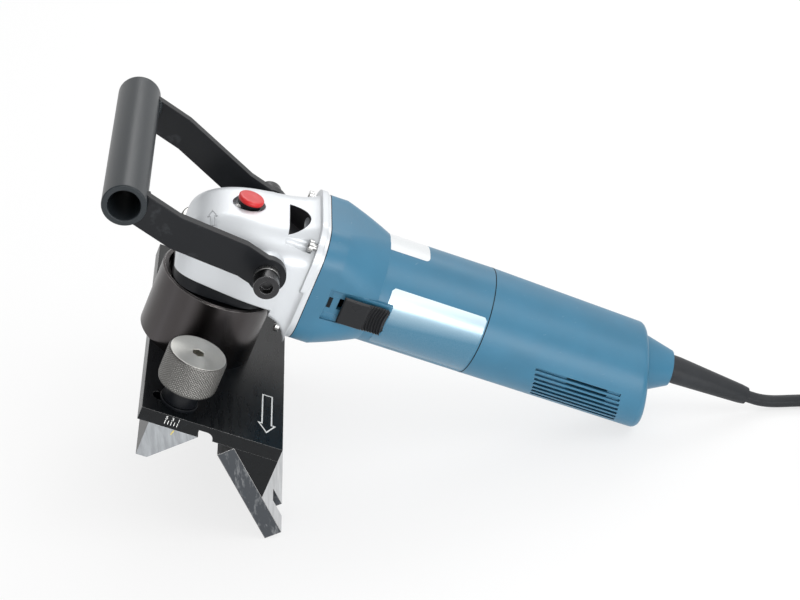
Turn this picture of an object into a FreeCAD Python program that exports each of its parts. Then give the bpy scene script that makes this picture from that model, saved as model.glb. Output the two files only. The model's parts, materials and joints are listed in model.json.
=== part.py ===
"""Hand-held plate edge beveller: an angle-grinder drive on a clamped collar and base
plate, with a fixed guide bar and a sliding guide block that form a V under the cutter.

Tool frame while modelling: origin where the spindle axis meets the motor axis, +X along
the motor towards the cord, +Z up along the spindle, away from the cutter. Each sub-part
is then placed as the tool stands on a bench: on the guide bar's tip and the rear cover.
"""
import FreeCAD, Part
import math
import os
import re
import Sketcher

doc = FreeCAD.newDocument("edge_beveller")
sizes = doc.addObject("Spreadsheet::Sheet", "sizes")

# ---------------------------------------------------------------- driving dimensions
# Name, value in millimetres (degrees for angles), and what it measures.
DRIVING = [
    ("barrel_radius", 35, "motor housing, outside"),
    ("barrel_wall", 3, "wall of the plastic housings"),
    ("head_seam", 50, "face between gear head and motor housing"),
    ("flange_land", 12, "square stretch of the motor housing behind the seam"),
    ("barrel_start", 92, "where the square front has run out into the round barrel"),
    ("rear_seam", 163, "face between motor housing and rear cover"),
    ("rear_end", 290, "lower corner of the rear cover"),
    ("rear_slant", 20, "how far the top of the rear face is ahead of the bottom"),
    ("rear_radius", 33.2, "rear cover at its end"),
    ("rear_drop", 1.8, "drop of the rear cover's centre at its end"),
    ("rear_fillet", 5, "rounding of the rear face"),
    ("flange_half_width", 39, "square front of the motor housing, half width"),
    ("flange_half_height", 40, "square front of the motor housing, half height"),
    ("flange_round", 20, "corner radius of the square front"),
    ("ridge_step", 2, "how far the gear head's ridge stands out past the seam"),
    ("flange_thick", 13, "thickness of the gear head's rear flange"),
    ("flange_screw_y", 32, "flange screws, sideways"),
    ("flange_screw_z", 30, "flange screws, up and down"),
    ("head_front", 32, "front of the gear head from the spindle axis"),
    ("head_half", 31, "half width of the gear head at the spindle"),
    ("head_hip", 37, "half width of the gear head at the handle screws"),
    ("head_top", 30, "top of the gear head above the motor axis"),
    ("head_foot", 19, "underside of the gear head below the motor axis"),
    ("head_cavity", 27, "radius of the gear chamber"),
    ("bearing_plate", 8, "thickness of the bearing flange's plate"),
    ("bearing_round", 19, "corner radius of the bearing flange's plate"),
    ("bearing_circle", 31, "circle of the bearing flange's screws"),
    ("bearing_screw", 1.5, "bearing flange screw"),
    ("bearing_screw_head", 2.3, "bearing flange screw head, radius"),
    ("neck_radius", 28.5, "neck of the bearing flange, which the collar clamps"),
    ("neck_foot", 44, "lower end of the neck below the motor axis"),
    ("collar_radius", 37, "clamp collar, outside"),
    ("collar_rim", 27.6, "top of the collar below the motor axis"),
    ("collar_recess", 33.5, "recess in the collar's rim, radius"),
    ("collar_bore", 31, "cutter space in the collar, radius"),
    ("plate_top", 73, "top of the base plate below the motor axis"),
    ("plate_thick", 9, "base plate thickness"),
    ("plate_length", 202, "base plate along the guides"),
    ("plate_front", 29.7, "front edge of the plate from the spindle axis"),
    ("plate_width", 90, "base plate across the guides"),
    ("cutter_hole", 27, "round opening in the plate for the cutter, radius"),
    ("channel_start", 8, "relief channel under the plate, near wall"),
    ("channel_flat", 5, "flat part of the relief channel's roof"),
    ("channel_depth", 5, "relief channel depth and the round of its roof"),
    ("apex_x", 12.5, "line where the two guide faces meet"),
    ("apex_depth", 78.6, "depth of that line below the motor axis"),
    ("bar_thick", 11.5, "guide bar thickness"),
    ("bar_length", 68.5, "guide bar, top end to tip"),
    ("bar_notch", 13, "notch at the foot of the bar's back, along the bar"),
    ("bar_notch_depth", 5, "depth of that notch"),
    ("end_screw_margin", 5.5, "outer guide screws from the ends of the plate"),
    ("screw_pitch", 36, "from an outer bar screw to the inner one"),
    ("block_screw_x", 49.5, "block screws behind the spindle axis"),
    ("block_screw_margin", 16, "outer block screws from the ends of the plate"),
    ("block_screw_pitch", 50, "from an outer block screw to the inner one"),
    ("fixed_block_width", 29, "fixed guide block across the guides"),
    ("slide_block_back", 22.5, "back face of the sliding block from the spindle axis"),
    ("slide_block_drop", 24.5, "height of the sliding block"),
    ("slide_travel", 8, "travel of the sliding block"),
    ("stud_radius", 4, "clamp stud"),
    ("stud_x", 7.5, "clamp studs ahead of the spindle axis"),
    ("stud_margin", 18, "clamp studs from the ends of the plate"),
    ("slot_half", 4.3, "half width of the stud slots"),
    ("slot_front", 24, "front end of the stud slots"),
    ("slot_spare", 1.2, "slot left behind a stud at rest"),
    ("stud_depth", 12, "how far a stud reaches into the block"),
    ("knob_radius", 19, "knurled knob"),
    ("knob_top", 38.2, "top of the knob below the motor axis"),
    ("knob_height", 22, "knurled height"),
    ("knob_neck", 9.5, "neck under the knob, radius"),
    ("knob_socket", 5, "hexagon socket, half across flats"),
    ("knob_socket_depth", 8, "hexagon socket depth"),
    ("washer_radius", 12, "washer under the knob"),
    ("washer_thick", 2, "washer thickness"),
    ("tube_radius", 13.5, "handle tube, outside"),
    ("tube_bore", 9.75, "handle tube, inside"),
    ("tube_length", 150, "handle tube"),
    ("tube_x", 80, "handle tube ahead of the spindle axis"),
    ("tube_z", 39, "handle tube above the motor axis"),
    ("arm_thick", 6, "handle arm, flat bar thickness"),
    ("arm_width", 21, "handle arm, flat bar width"),
    ("arm_eye", 12, "rounded eye of the arm"),
    ("arm_reach", 68, "outer face of the arms at the tube"),
    ("pivot_x", 19, "handle screws behind the spindle axis"),
    ("pivot_z", 9.2, "handle screws above the motor axis"),
    ("pivot_face", 42.4, "outer face of the gear head's handle bosses"),
    ("screw_radius", 5, "handle screw"),
    ("screw_head", 8, "handle screw head, radius"),
    ("screw_head_length", 10, "handle screw head"),
    ("bush_length", 4, "sleeve between screw head and arm"),
    ("boss_radius", 11, "gear head's handle bosses"),
    ("crown_teeth", 30, "teeth of the crown gear"),
    ("pinion_teeth", 9, "teeth of the pinion"),
    ("gear_module", 1.533, "module at the large end"),
    ("tooth_face", 7.5, "face width of the bevel gears"),
    ("spindle_radius", 7.5, "spindle in its main bearing"),
    ("journal_radius", 4.5, "upper journal of the spindle"),
    ("spindle_shoulder", 10.5, "collar on the spindle above the cutter"),
    ("thread_radius", 7, "threaded end of the spindle"),
    ("cutter_radius", 23, "cutter head"),
    ("cut_radius", 25, "circle of the insert corners"),
    ("cut_depth", 79.6, "cutting plane below the motor axis"),
    ("insert_size", 9.5, "square carbide insert"),
    ("insert_thick", 3.2, "insert thickness"),
    ("insert_count", 4, "inserts on the cutter head"),
    ("main_bearing_radius", 17.5, "lower spindle bearing, outside"),
    ("main_bearing_width", 11, "lower spindle bearing"),
    ("needle_radius", 7.5, "upper spindle bearing, outside"),
    ("front_bearing_radius", 16, "front armature bearing, outside"),
    ("front_bearing_width", 10, "front armature bearing"),
    ("rear_bearing_radius", 11, "rear armature bearing, outside"),
    ("rear_bearing_width", 7, "rear armature bearing"),
    ("shaft_radius", 6, "armature shaft at the front bearing"),
    ("shaft_core", 5, "armature shaft in the core"),
    ("shaft_tail", 4, "armature shaft at the rear bearing"),
    ("core_start", 92, "front end of the armature core"),
    ("core_length", 50, "armature core and field core"),
    ("core_radius", 18, "armature core"),
    ("core_slots", 12, "slots of the armature core"),
    ("air_gap", 0.5, "between armature and field"),
    ("field_wall", 3.5, "field core left outside each flat"),
    ("coil_cover", 3.4, "field core left outside each coil"),
    ("coil_overhang", 7, "field coil past the core at each end"),
    ("fan_radius", 32, "cooling fan"),
    ("fan_start", 57.5, "cooling fan, front face"),
    ("fan_width", 9, "cooling fan"),
    ("fan_blades", 12, "blades of the fan"),
    ("fan_chamber", 35, "fan chamber in the motor housing, radius"),
    ("comm_radius", 12, "commutator"),
    ("comm_start", 157, "commutator, front end"),
    ("comm_length", 14, "commutator"),
    ("bridge_gap", 4, "air round the tail of the motor housing inside the rear cover"),
    ("brush_width", 8, "carbon brush across the shaft"),
    ("brush_length", 10, "carbon brush along the shaft"),
    ("button_radius", 8.2, "spindle lock button"),
    ("button_top", 33.5, "top of the lock button above the motor axis"),
    ("button_thick", 6, "lock button head"),
    ("button_stem", 4, "stem of the lock button"),
    ("spindle_top", 16.5, "upper end of the spindle above the motor axis"),
    ("button_travel", 3, "travel of the lock button"),
    ("slider_start", 71, "switch slider, front end"),
    ("slider_length", 29, "switch slider"),
    ("slider_top", 8, "switch slider, upper edge"),
    ("slider_height", 19, "switch slider"),
    ("slider_thick", 4.5, "switch slider"),
    ("slider_travel", 8, "switch slider travel"),
    ("relief_radius", 10, "strain relief at the housing"),
    ("relief_tip", 5.6, "strain relief at its end, radius"),
    ("relief_length", 52.5, "strain relief outside the housing"),
    ("relief_seat", 15.4, "strain relief inside the cord outlet"),
    ("relief_droop", 2, "droop of the strain relief, degrees"),
    ("outlet_x", 298, "where the strain relief is free of the cord outlet"),
    ("outlet_end", 295, "end of the cord outlet"),
    ("outlet_z", 10.5, "cord outlet above the motor axis"),
    ("outlet_wall", 1.6, "wall of the cord outlet at its end"),
    ("outlet_root", 24, "cord outlet at the rear cover, radius"),
    ("vent_front", 66, "air slots, from the lower corner of the rear cover"),
    ("vent_length", 28, "air slots"),
    ("vent_height", 2.2, "air slots and the flutes beside them"),
    ("vent_pitch", 3.8, "between air slots"),
    ("vent_top", 3, "first air slot below the motor axis"),
    ("vent_count", 7, "air slots on each side"),
    ("flute_reach", 22, "flutes ahead of the air slots"),
    ("flute_depth", 0.8, "flutes"),
    ("window_front", 25.5, "flat edge of the gear head's air window"),
    ("window_radius", 19, "round edge of the air window"),
    ("window_x", 19, "centre of that round edge, behind the spindle axis"),
    ("window_y", 8, "centre of that round edge, towards the switch side"),
    ("window_floor", 21, "floor of the air window above the motor axis"),
    ("button_gap", 2, "recess round the lock button"),
    ("cord_radius", 4, "power cord"),
    ("running", 0.05, "running clearance in bearings and slides"),
    ("play", 0.3, "free clearance between parts that pass each other"),
    # Sizes that follow from the ones above.
    ("barrel_bore", "barrel_radius - barrel_wall", "inside of the plastic housings"),
    ("field_radius", "barrel_bore - 0.1", "field core, outside"),
    ("field_flat", "field_radius - field_wall", "flats on the field core"),
    ("coil_depth", "field_flat - coil_cover - core_radius - air_gap", "field coil, radial depth"),
    ("bridge_radius", "barrel_bore - bridge_gap", "tail of the motor housing"),
    ("stud_y", "plate_length / 2 - stud_margin", "clamp studs from the spindle axis"),
    ("outlet_radius", "relief_radius + outlet_wall", "cord outlet at its end"),
    ("slider_face", "barrel_radius + 1.5 + running", "what the switch slider slides on"),
]

for row, (alias, number, meaning) in enumerate(DRIVING, 1):
    sizes.set(f"A{row}", alias)
    sizes.set(f"B{row}", f"={number}")
    sizes.setAlias(f"B{row}", alias)
    sizes.set(f"C{row}", meaning)
doc.recompute()


def formula(text):
    """Write a formula's size names as references to the sheet's cells."""
    return re.sub(r"\b(?!pi\b)[a-z]\w*\b(?!\()", lambda name: "sizes." + name[0], str(text))


def value(text):
    """Work a formula out with the sheet's present numbers."""
    return float(sizes.evalExpression(formula(text)))


def bind(thing, prop, text):
    """Tie one property of a document object to a formula of the sheet."""
    thing.setExpression(prop, formula(text))


# ---------------------------------------------------------------- how the tool stands
PLATE_FOOT = "(plate_top + plate_thick)"
BAR_OFFSET = f"(bar_thick / sqrt(2) + {PLATE_FOOT} - apex_depth)"
TIP_X = f"(apex_x + {BAR_OFFSET} + bar_length / sqrt(2))"
TIP_Z = f"(0 - apex_depth - {BAR_OFFSET} - bar_length / sqrt(2))"
OUTLET_RUN = "(outlet_end - rear_end + rear_slant + 8)"


def standing_placement():
    """Tilt about Y so that the bar's tip and the rear cover's rounded corner share a floor.

    The floor touches the sharp tip and is tangent to the corner's arc.
    """
    corner_x = value("rear_end - rear_fillet - 1")
    corner_z = value("rear_fillet - rear_radius - rear_drop")
    run = corner_x - value(TIP_X)
    rise = corner_z - value(TIP_Z)
    tilt = math.atan2(rise, run) - math.asin(value("rear_fillet") / math.hypot(run, rise))
    cosine, sine = math.cos(tilt), math.sin(tilt)
    floor = -sine * value(TIP_X) + cosine * value(TIP_Z)
    front = -cosine * value("tube_x") + sine * value("tube_z") - value("tube_radius")
    rise = math.atan(value(f"5 / {OUTLET_RUN}"))
    mouth_x = value("rear_end - rear_slant - 8") + value(OUTLET_RUN) * math.cos(rise)
    mouth_z = value("outlet_z - 5") + value(OUTLET_RUN) * math.sin(rise)
    back = (cosine * mouth_x + sine * mouth_z
            + value("outlet_radius") * math.sin(tilt - rise))
    turn = FreeCAD.Rotation(FreeCAD.Vector(0, 1, 0), math.degrees(tilt))
    return FreeCAD.Placement(FreeCAD.Vector(-(front + back) / 2, 0, -floor), turn)


STAND = standing_placement()
ALONG_Z = FreeCAD.Rotation()
ALONG_X = FreeCAD.Rotation(FreeCAD.Vector(0, 1, 0), 90)
ALONG_Y = FreeCAD.Rotation(FreeCAD.Vector(1, 0, 0), -90)
PARTS = []


def hand_in(thing, label):
    """Stand a finished sub-part with the tool and mark it for export."""
    thing.Placement = STAND.multiply(thing.Placement)
    return lay_by(thing, label)


def lay_by(thing, label):
    """Mark for export a sub-part that already lies on the bench by itself, as the cord does."""
    thing.Label = label
    PARTS.append(thing)
    return thing


# ---------------------------------------------------------------- shared ways of making
def sketch_on(body, role, offset="0"):
    """An empty sketch on one of the body's own planes, moved along that plane's normal."""
    sketch = body.newObject("Sketcher::SketchObject", "outline")
    planes = {feature.Role: feature for feature in body.Origin.OriginFeatures}
    sketch.AttachmentSupport = (planes[role], [""])
    sketch.MapMode = "FlatFace"
    if offset != "0":
        bind(sketch, "AttachmentOffset.Base.z", offset)
    return sketch


def hold_point(sketch, edge, end, x, y):
    """Fix one end of an edge at a place given by two formulas."""
    for kind, axis, text in (("DistanceX", -2, x), ("DistanceY", -1, y)):
        if value(text) == 0:
            sketch.addConstraint(Sketcher.Constraint("PointOnObject", edge, end, axis))
        else:
            rule = Sketcher.Constraint(kind, -1, 1, edge, end, value(text))
            number = sketch.addConstraint(rule)
            bind(sketch, f"Constraints[{number}]", text)


def polygon(sketch, points):
    """A closed outline of straight lines through points given as pairs of formulas."""
    first = sketch.GeometryCount
    corners = [FreeCAD.Vector(value(x), value(y), 0) for x, y in points]
    for start, end in zip(corners, corners[1:] + corners[:1]):
        sketch.addGeometry(Part.LineSegment(start, end), False)
    for step, (x, y) in enumerate(points):
        following = first + (step + 1) % len(points)
        sketch.addConstraint(Sketcher.Constraint("Coincident", first + step, 2, following, 1))
        hold_point(sketch, first + step, 1, x, y)


def circle(sketch, x, y, radius):
    """A circle whose centre and radius are formulas."""
    centre = FreeCAD.Vector(value(x), value(y), 0)
    edge = sketch.addGeometry(Part.Circle(centre, FreeCAD.Vector(0, 0, 1), value(radius)), False)
    number = sketch.addConstraint(Sketcher.Constraint("Radius", edge, value(radius)))
    bind(sketch, f"Constraints[{number}]", radius)
    hold_point(sketch, edge, 3, x, y)


def rounded_box(sketch, half_width, low, high, round_low, round_high):
    """A rectangle, even about the upright axis, with its own corner radius below and above."""
    half, bottom, top = value(half_width), value(low), value(high)
    small, large = value(round_low), value(round_high)
    vector = FreeCAD.Vector
    lines = [
        (vector(small - half, bottom), vector(half - small, bottom)),
        (vector(half, bottom + small), vector(half, top - large)),
        (vector(half - large, top), vector(large - half, top)),
        (vector(-half, top - large), vector(-half, bottom + small)),
    ]
    arcs = [
        (vector(half - small, bottom + small), small, -90),
        (vector(half - large, top - large), large, 0),
        (vector(large - half, top - large), large, 90),
        (vector(small - half, bottom + small), small, 180),
    ]
    for (start, end), (centre, radius, angle) in zip(lines, arcs):
        sketch.addGeometry(Part.LineSegment(start, end), False)
        round_edge = Part.Circle(centre, vector(0, 0, 1), radius)
        span = (math.radians(angle), math.radians(angle + 90))
        sketch.addGeometry(Part.ArcOfCircle(round_edge, *span), False)
    for line in (0, 2, 4, 6):
        sketch.addConstraint(Sketcher.Constraint("Tangent", line, 2, line + 1, 1))
        sketch.addConstraint(Sketcher.Constraint("Tangent", line + 1, 2, (line + 2) % 8, 1))
    for line in (0, 4):
        sketch.addConstraint(Sketcher.Constraint("Horizontal", line))
    for line in (2, 6):
        sketch.addConstraint(Sketcher.Constraint("Vertical", line))
    rules = [
        ("DistanceX", 2, half_width), ("DistanceX", 6, f"0 - ({half_width})"),
        ("DistanceY", 0, low), ("DistanceY", 4, high),
    ]
    for kind, line, text in rules:
        number = sketch.addConstraint(Sketcher.Constraint(kind, -1, 1, line, 1, value(text)))
        bind(sketch, f"Constraints[{number}]", text)
    for arc, text in ((1, round_low), (3, round_high), (5, round_high), (7, round_low)):
        number = sketch.addConstraint(Sketcher.Constraint("Radius", arc, value(text)))
        bind(sketch, f"Constraints[{number}]", text)


def turned(name, profile, rotation=ALONG_Z, base=("0", "0", "0")):
    """A body of revolution: profile points are (radius, height along the axis)."""
    body = doc.addObject("PartDesign::Body", name)
    sketch = sketch_on(body, "XZ_Plane")
    polygon(sketch, profile)
    feature = body.newObject("PartDesign::Revolution", "turn")
    feature.Profile = sketch
    feature.ReferenceAxis = (sketch, ["V_Axis"])
    feature.Angle = 360
    body.Placement = FreeCAD.Placement(FreeCAD.Vector(*map(value, base)), rotation)
    return body


def pad(body, sketch, length, both_ways=False):
    """Raise a sketch of the body into a solid."""
    feature = body.newObject("PartDesign::Pad", "pad")
    feature.Profile = sketch
    feature.SideType = "Symmetric" if both_ways else "One side"
    bind(feature, "Length", length)
    return feature


def slab(name, points, length, role="XZ_Plane"):
    """A straight bar of the given section, even about its sketch plane."""
    body = doc.addObject("PartDesign::Body", name)
    sketch = sketch_on(body, role)
    polygon(sketch, points)
    pad(body, sketch, length, both_ways=True)
    return body


def place(thing, at, rotation=ALONG_Z):
    """Turn a primitive and bind its base point to three formulas."""
    thing.Placement = FreeCAD.Placement(FreeCAD.Vector(*map(value, at)), rotation)
    for axis, text in zip("xyz", at):
        bind(thing, f"Placement.Base.{axis}", text)
    return thing


def rod(radius, length, at, rotation=ALONG_Z):
    """A round tool or pin that starts at a point and runs along its rotation's axis."""
    thing = doc.addObject("Part::Cylinder", "rod")
    bind(thing, "Radius", radius)
    bind(thing, "Height", length)
    return place(thing, at, rotation)


def block(size, at, rotation=ALONG_Z):
    """A box of three lengths from its low corner."""
    thing = doc.addObject("Part::Box", "block")
    for prop, text in zip(("Length", "Width", "Height"), size):
        bind(thing, prop, text)
    return place(thing, at, rotation)


def taper(wide, narrow, length, at, rotation=ALONG_Z):
    """A cone stump that starts with its first radius."""
    thing = doc.addObject("Part::Cone", "taper")
    bind(thing, "Radius1", wide)
    bind(thing, "Radius2", narrow)
    bind(thing, "Height", length)
    return place(thing, at, rotation)


def fuse(name, *things):
    """Join solids that are one piece."""
    joined = doc.addObject("Part::MultiFuse", name)
    joined.Shapes = list(things)
    joined.Refine = True
    return joined


def cut(name, base, *tools):
    """Take tools away from a solid, one after the other."""
    for step, tool in enumerate(tools, 1):
        left = doc.addObject("Part::Cut", name if step == len(tools) else "stage")
        left.Base = base
        left.Tool = tool
        left.Refine = True
        base = left
    return base


def group(name, things):
    """Several like pieces in one sub-part, each a solid of its own."""
    together = doc.addObject("Part::Compound", name)
    together.Links = list(things)
    return together


def made_by_code(name, shape):
    """A sub-part whose shape no single feature gives, such as a ring of gear teeth."""
    thing = doc.addObject("Part::Feature", name)
    thing.Shape = shape
    return thing


def spin(shape, angle, axis=(0, 0, 1)):
    """A copy of a plain shape, turned about an axis through the origin."""
    copy = shape.copy()
    copy.rotate(FreeCAD.Vector(0, 0, 0), FreeCAD.Vector(*axis), angle)
    return copy


SIDES = (-1, 1)
DIAGONALS = (45, 135, 225, 315)

# ---------------------------------------------------------------- gear head casting
# Sections along the motor axis: place, half width, foot, top and upper corner radius.
HEAD_SECTIONS = [
    ("0 - head_front", "head_half - 12", "head_foot + 4", "head_top - 20", "9"),
    ("4 - head_front", "head_half - 5", "head_foot + 4", "head_top - 14", "13"),
    ("16 - head_front", "head_half", "head_foot + 4", "head_top - 6", "17"),
    ("4", "head_hip - 2", "head_foot + 4", "head_top - 1", "19"),
    ("22", "head_hip", "head_foot + 4", "head_top + 1", "20"),
    ("head_seam - 4", "flange_half_width", "flange_half_height - 2", "flange_half_height",
     "flange_round"),
]
FLANGE_START = "(head_seam - flange_thick)"


def gear_head_form():
    """The casting's outside: a smooth nose that swells into a ridged square flange."""
    body = doc.addObject("PartDesign::Body", "head_form")
    outlines = []
    for place_x, half, foot, top, corner in HEAD_SECTIONS:
        sketch = sketch_on(body, "YZ_Plane", place_x)
        rounded_box(sketch, half, f"0 - ({foot})", top, "3", corner)
        outlines.append(sketch)
    loft = body.newObject("PartDesign::AdditiveLoft", "swell")
    loft.Profile = outlines[0]
    loft.Sections = outlines[1:]
    ridge = sketch_on(body, "YZ_Plane", "head_seam - 6.5")
    rounded_box(ridge, "flange_half_width + 0.1", "0", "flange_half_height + ridge_step",
                "2", "flange_round + 1")
    pad(body, ridge, "4")
    seam = sketch_on(body, "YZ_Plane", "head_seam - 4")
    rounded_box(seam, "flange_half_width", "0 - flange_half_height",
                "flange_half_height", "flange_round", "flange_round")
    pad(body, seam, "4")
    bosses = sketch_on(body, "XZ_Plane")
    circle(bosses, "pivot_x", "pivot_z", "boss_radius")
    pad(body, bosses, "2 * pivot_face", both_ways=True)
    return body


def gear_head():
    """The casting with its gear chamber, bearing seats, screw holes and air windows."""
    under = block(("head_front + head_half + play", "4 * head_hip", "flange_half_height"),
                  ("0 - head_front", "0 - 2 * head_hip", "0 - head_foot - flange_half_height"))
    chamber = turned("gear_chamber", [
        ("0", "0 - head_foot - 1"), ("head_cavity", "0 - head_foot - 1"), ("head_cavity", "4"),
        ("head_cavity - 5", "head_top - 15"), ("head_cavity - 11", "head_top - 9"),
        ("needle_radius + 3", "head_top - 9"), ("needle_radius + 3", "7"), ("0", "7")])
    needle_seat = rod("needle_radius", "8.2", ("0", "0", "6.9"))
    spindle_clearance = rod("journal_radius + 1", "4.1", ("0", "0", "15"))
    stem_bore = rod("button_stem + running", "6", ("0", "0", "18"))
    button_recess = rod("button_radius + button_gap", "head_top", ("0", "0", "head_top - 7"))
    tunnel = rod("front_bearing_radius - 3", "head_seam - 10", ("10", "0", "0"), ALONG_X)
    bearing_seat = rod("front_bearing_radius", "front_bearing_width + 10",
                       ("head_seam - front_bearing_width - 3", "0", "0"), ALONG_X)
    retainer_seat = rod("front_bearing_radius + 6", "10", ("head_seam - 3", "0", "0"), ALONG_X)
    tools = [under, chamber, needle_seat, spindle_clearance, stem_bore, button_recess,
             tunnel, bearing_seat, retainer_seat]
    for side in SIDES:
        tools.append(rod("screw_radius", "pivot_face",
                         ("pivot_x", f"{side} * (pivot_face - 15)", "pivot_z"),
                         FreeCAD.Rotation(FreeCAD.Vector(1, 0, 0), -90 * side)))
        for level in SIDES:
            y, z = f"{side} * flange_screw_y", f"{level} * flange_screw_z"
            tools.append(rod("2.2", "head_seam", (FLANGE_START + " - 1", y, z), ALONG_X))
            tools.append(rod("4.6", "16", (FLANGE_START + " - 12", y, z), ALONG_X))
    window = doc.addObject("Part::Common", "air_window")
    window.Base = rod("window_radius", "head_seam", ("window_x", "0 - window_y", "window_floor"))
    window.Tool = block(("window_radius", "4 * window_radius", "2 * head_seam"),
                        ("window_front", "0 - window_y - 2 * window_radius", "window_floor"))
    tools.append(window)
    for y, z in (("window_y - 4", "29.5"), ("window_y + 7", "27.5")):
        tools.append(rod("4", "head_seam", ("window_front + 4", f"0 - ({y})", z), ALONG_X))
    for angle in DIAGONALS:
        tools.append(rod("bearing_screw", "9",
                         (f"bearing_circle * cos({angle})", f"bearing_circle * sin({angle})",
                          "0 - head_foot - 1")))
    return hand_in(cut("gear_head", gear_head_form(), *tools), "gear_head")


# ---------------------------------------------------------------- bearing flange
def bearing_flange():
    """Black plate under the gear head, with the neck that the collar clamps."""
    body = doc.addObject("PartDesign::Body", "flange_form")
    sketch = sketch_on(body, "XY_Plane", "0 - head_foot - bearing_plate")
    rounded_box(sketch, "head_half", "0 - head_half", "head_half", "bearing_round", "bearing_round")
    pad(body, sketch, "bearing_plate")
    neck = sketch_on(body, "XY_Plane", "0 - neck_foot")
    circle(neck, "0", "0", "neck_radius")
    pad(body, neck, "neck_foot - head_foot - 1")
    seat = rod("main_bearing_radius", "main_bearing_width + 5",
               ("0", "0", "0 - head_foot - main_bearing_width - 1"))
    lip = rod("spindle_shoulder + play", "neck_foot", ("0", "0", "0 - neck_foot - 1"))
    tools = [seat, lip]
    for angle in DIAGONALS:
        x, y = f"bearing_circle * cos({angle})", f"bearing_circle * sin({angle})"
        tools.append(rod("bearing_screw + 0.2", "20", (x, y, "0 - head_foot - 15")))
    return hand_in(cut("bearing_flange", body, *tools), "bearing_flange")


def cap_screw(radius, length, head_radius, head_length, socket="1.5"):
    """A socket screw along +Z: its thread from the origin down, its head above."""
    screw = turned("screw", [
        ("0", f"0 - ({length})"), (radius, f"0 - ({length})"), (radius, "0"),
        (head_radius, "0"), (head_radius, head_length),
        (socket, head_length), (socket, f"({head_length}) / 2"),
        ("0", f"({head_length}) / 2")])
    return screw


def moved(thing, at, rotation=ALONG_Z):
    """Place a body by three formulas."""
    return place(thing, at, rotation)


def bearing_flange_screws():
    """Four screws up through the bearing flange into the gear head."""
    screws = []
    for angle in DIAGONALS:
        at = (f"bearing_circle * cos({angle})", f"bearing_circle * sin({angle})",
              "0 - head_foot - bearing_plate")
        turn = FreeCAD.Rotation(FreeCAD.Vector(1, 0, 0), 180)
        screws.append(moved(cap_screw("bearing_screw", "bearing_plate + 7", "bearing_screw_head",
                                      "1.7", "1"), at, turn))
    return hand_in(group("bearing_flange_screws", screws), "bearing_flange_screws")


def flange_screws():
    """Four screws from the gear head's flange into the motor housing."""
    screws = []
    for side in SIDES:
        for level in SIDES:
            at = (FLANGE_START + " + 4", f"{side} * flange_screw_y", f"{level} * flange_screw_z")
            turn = FreeCAD.Rotation(FreeCAD.Vector(0, 1, 0), -90)
            screws.append(moved(cap_screw("2.1", "22", "4", "2.6", "2"), at, turn))
    return hand_in(group("flange_screws", screws), "flange_screws")


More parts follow.
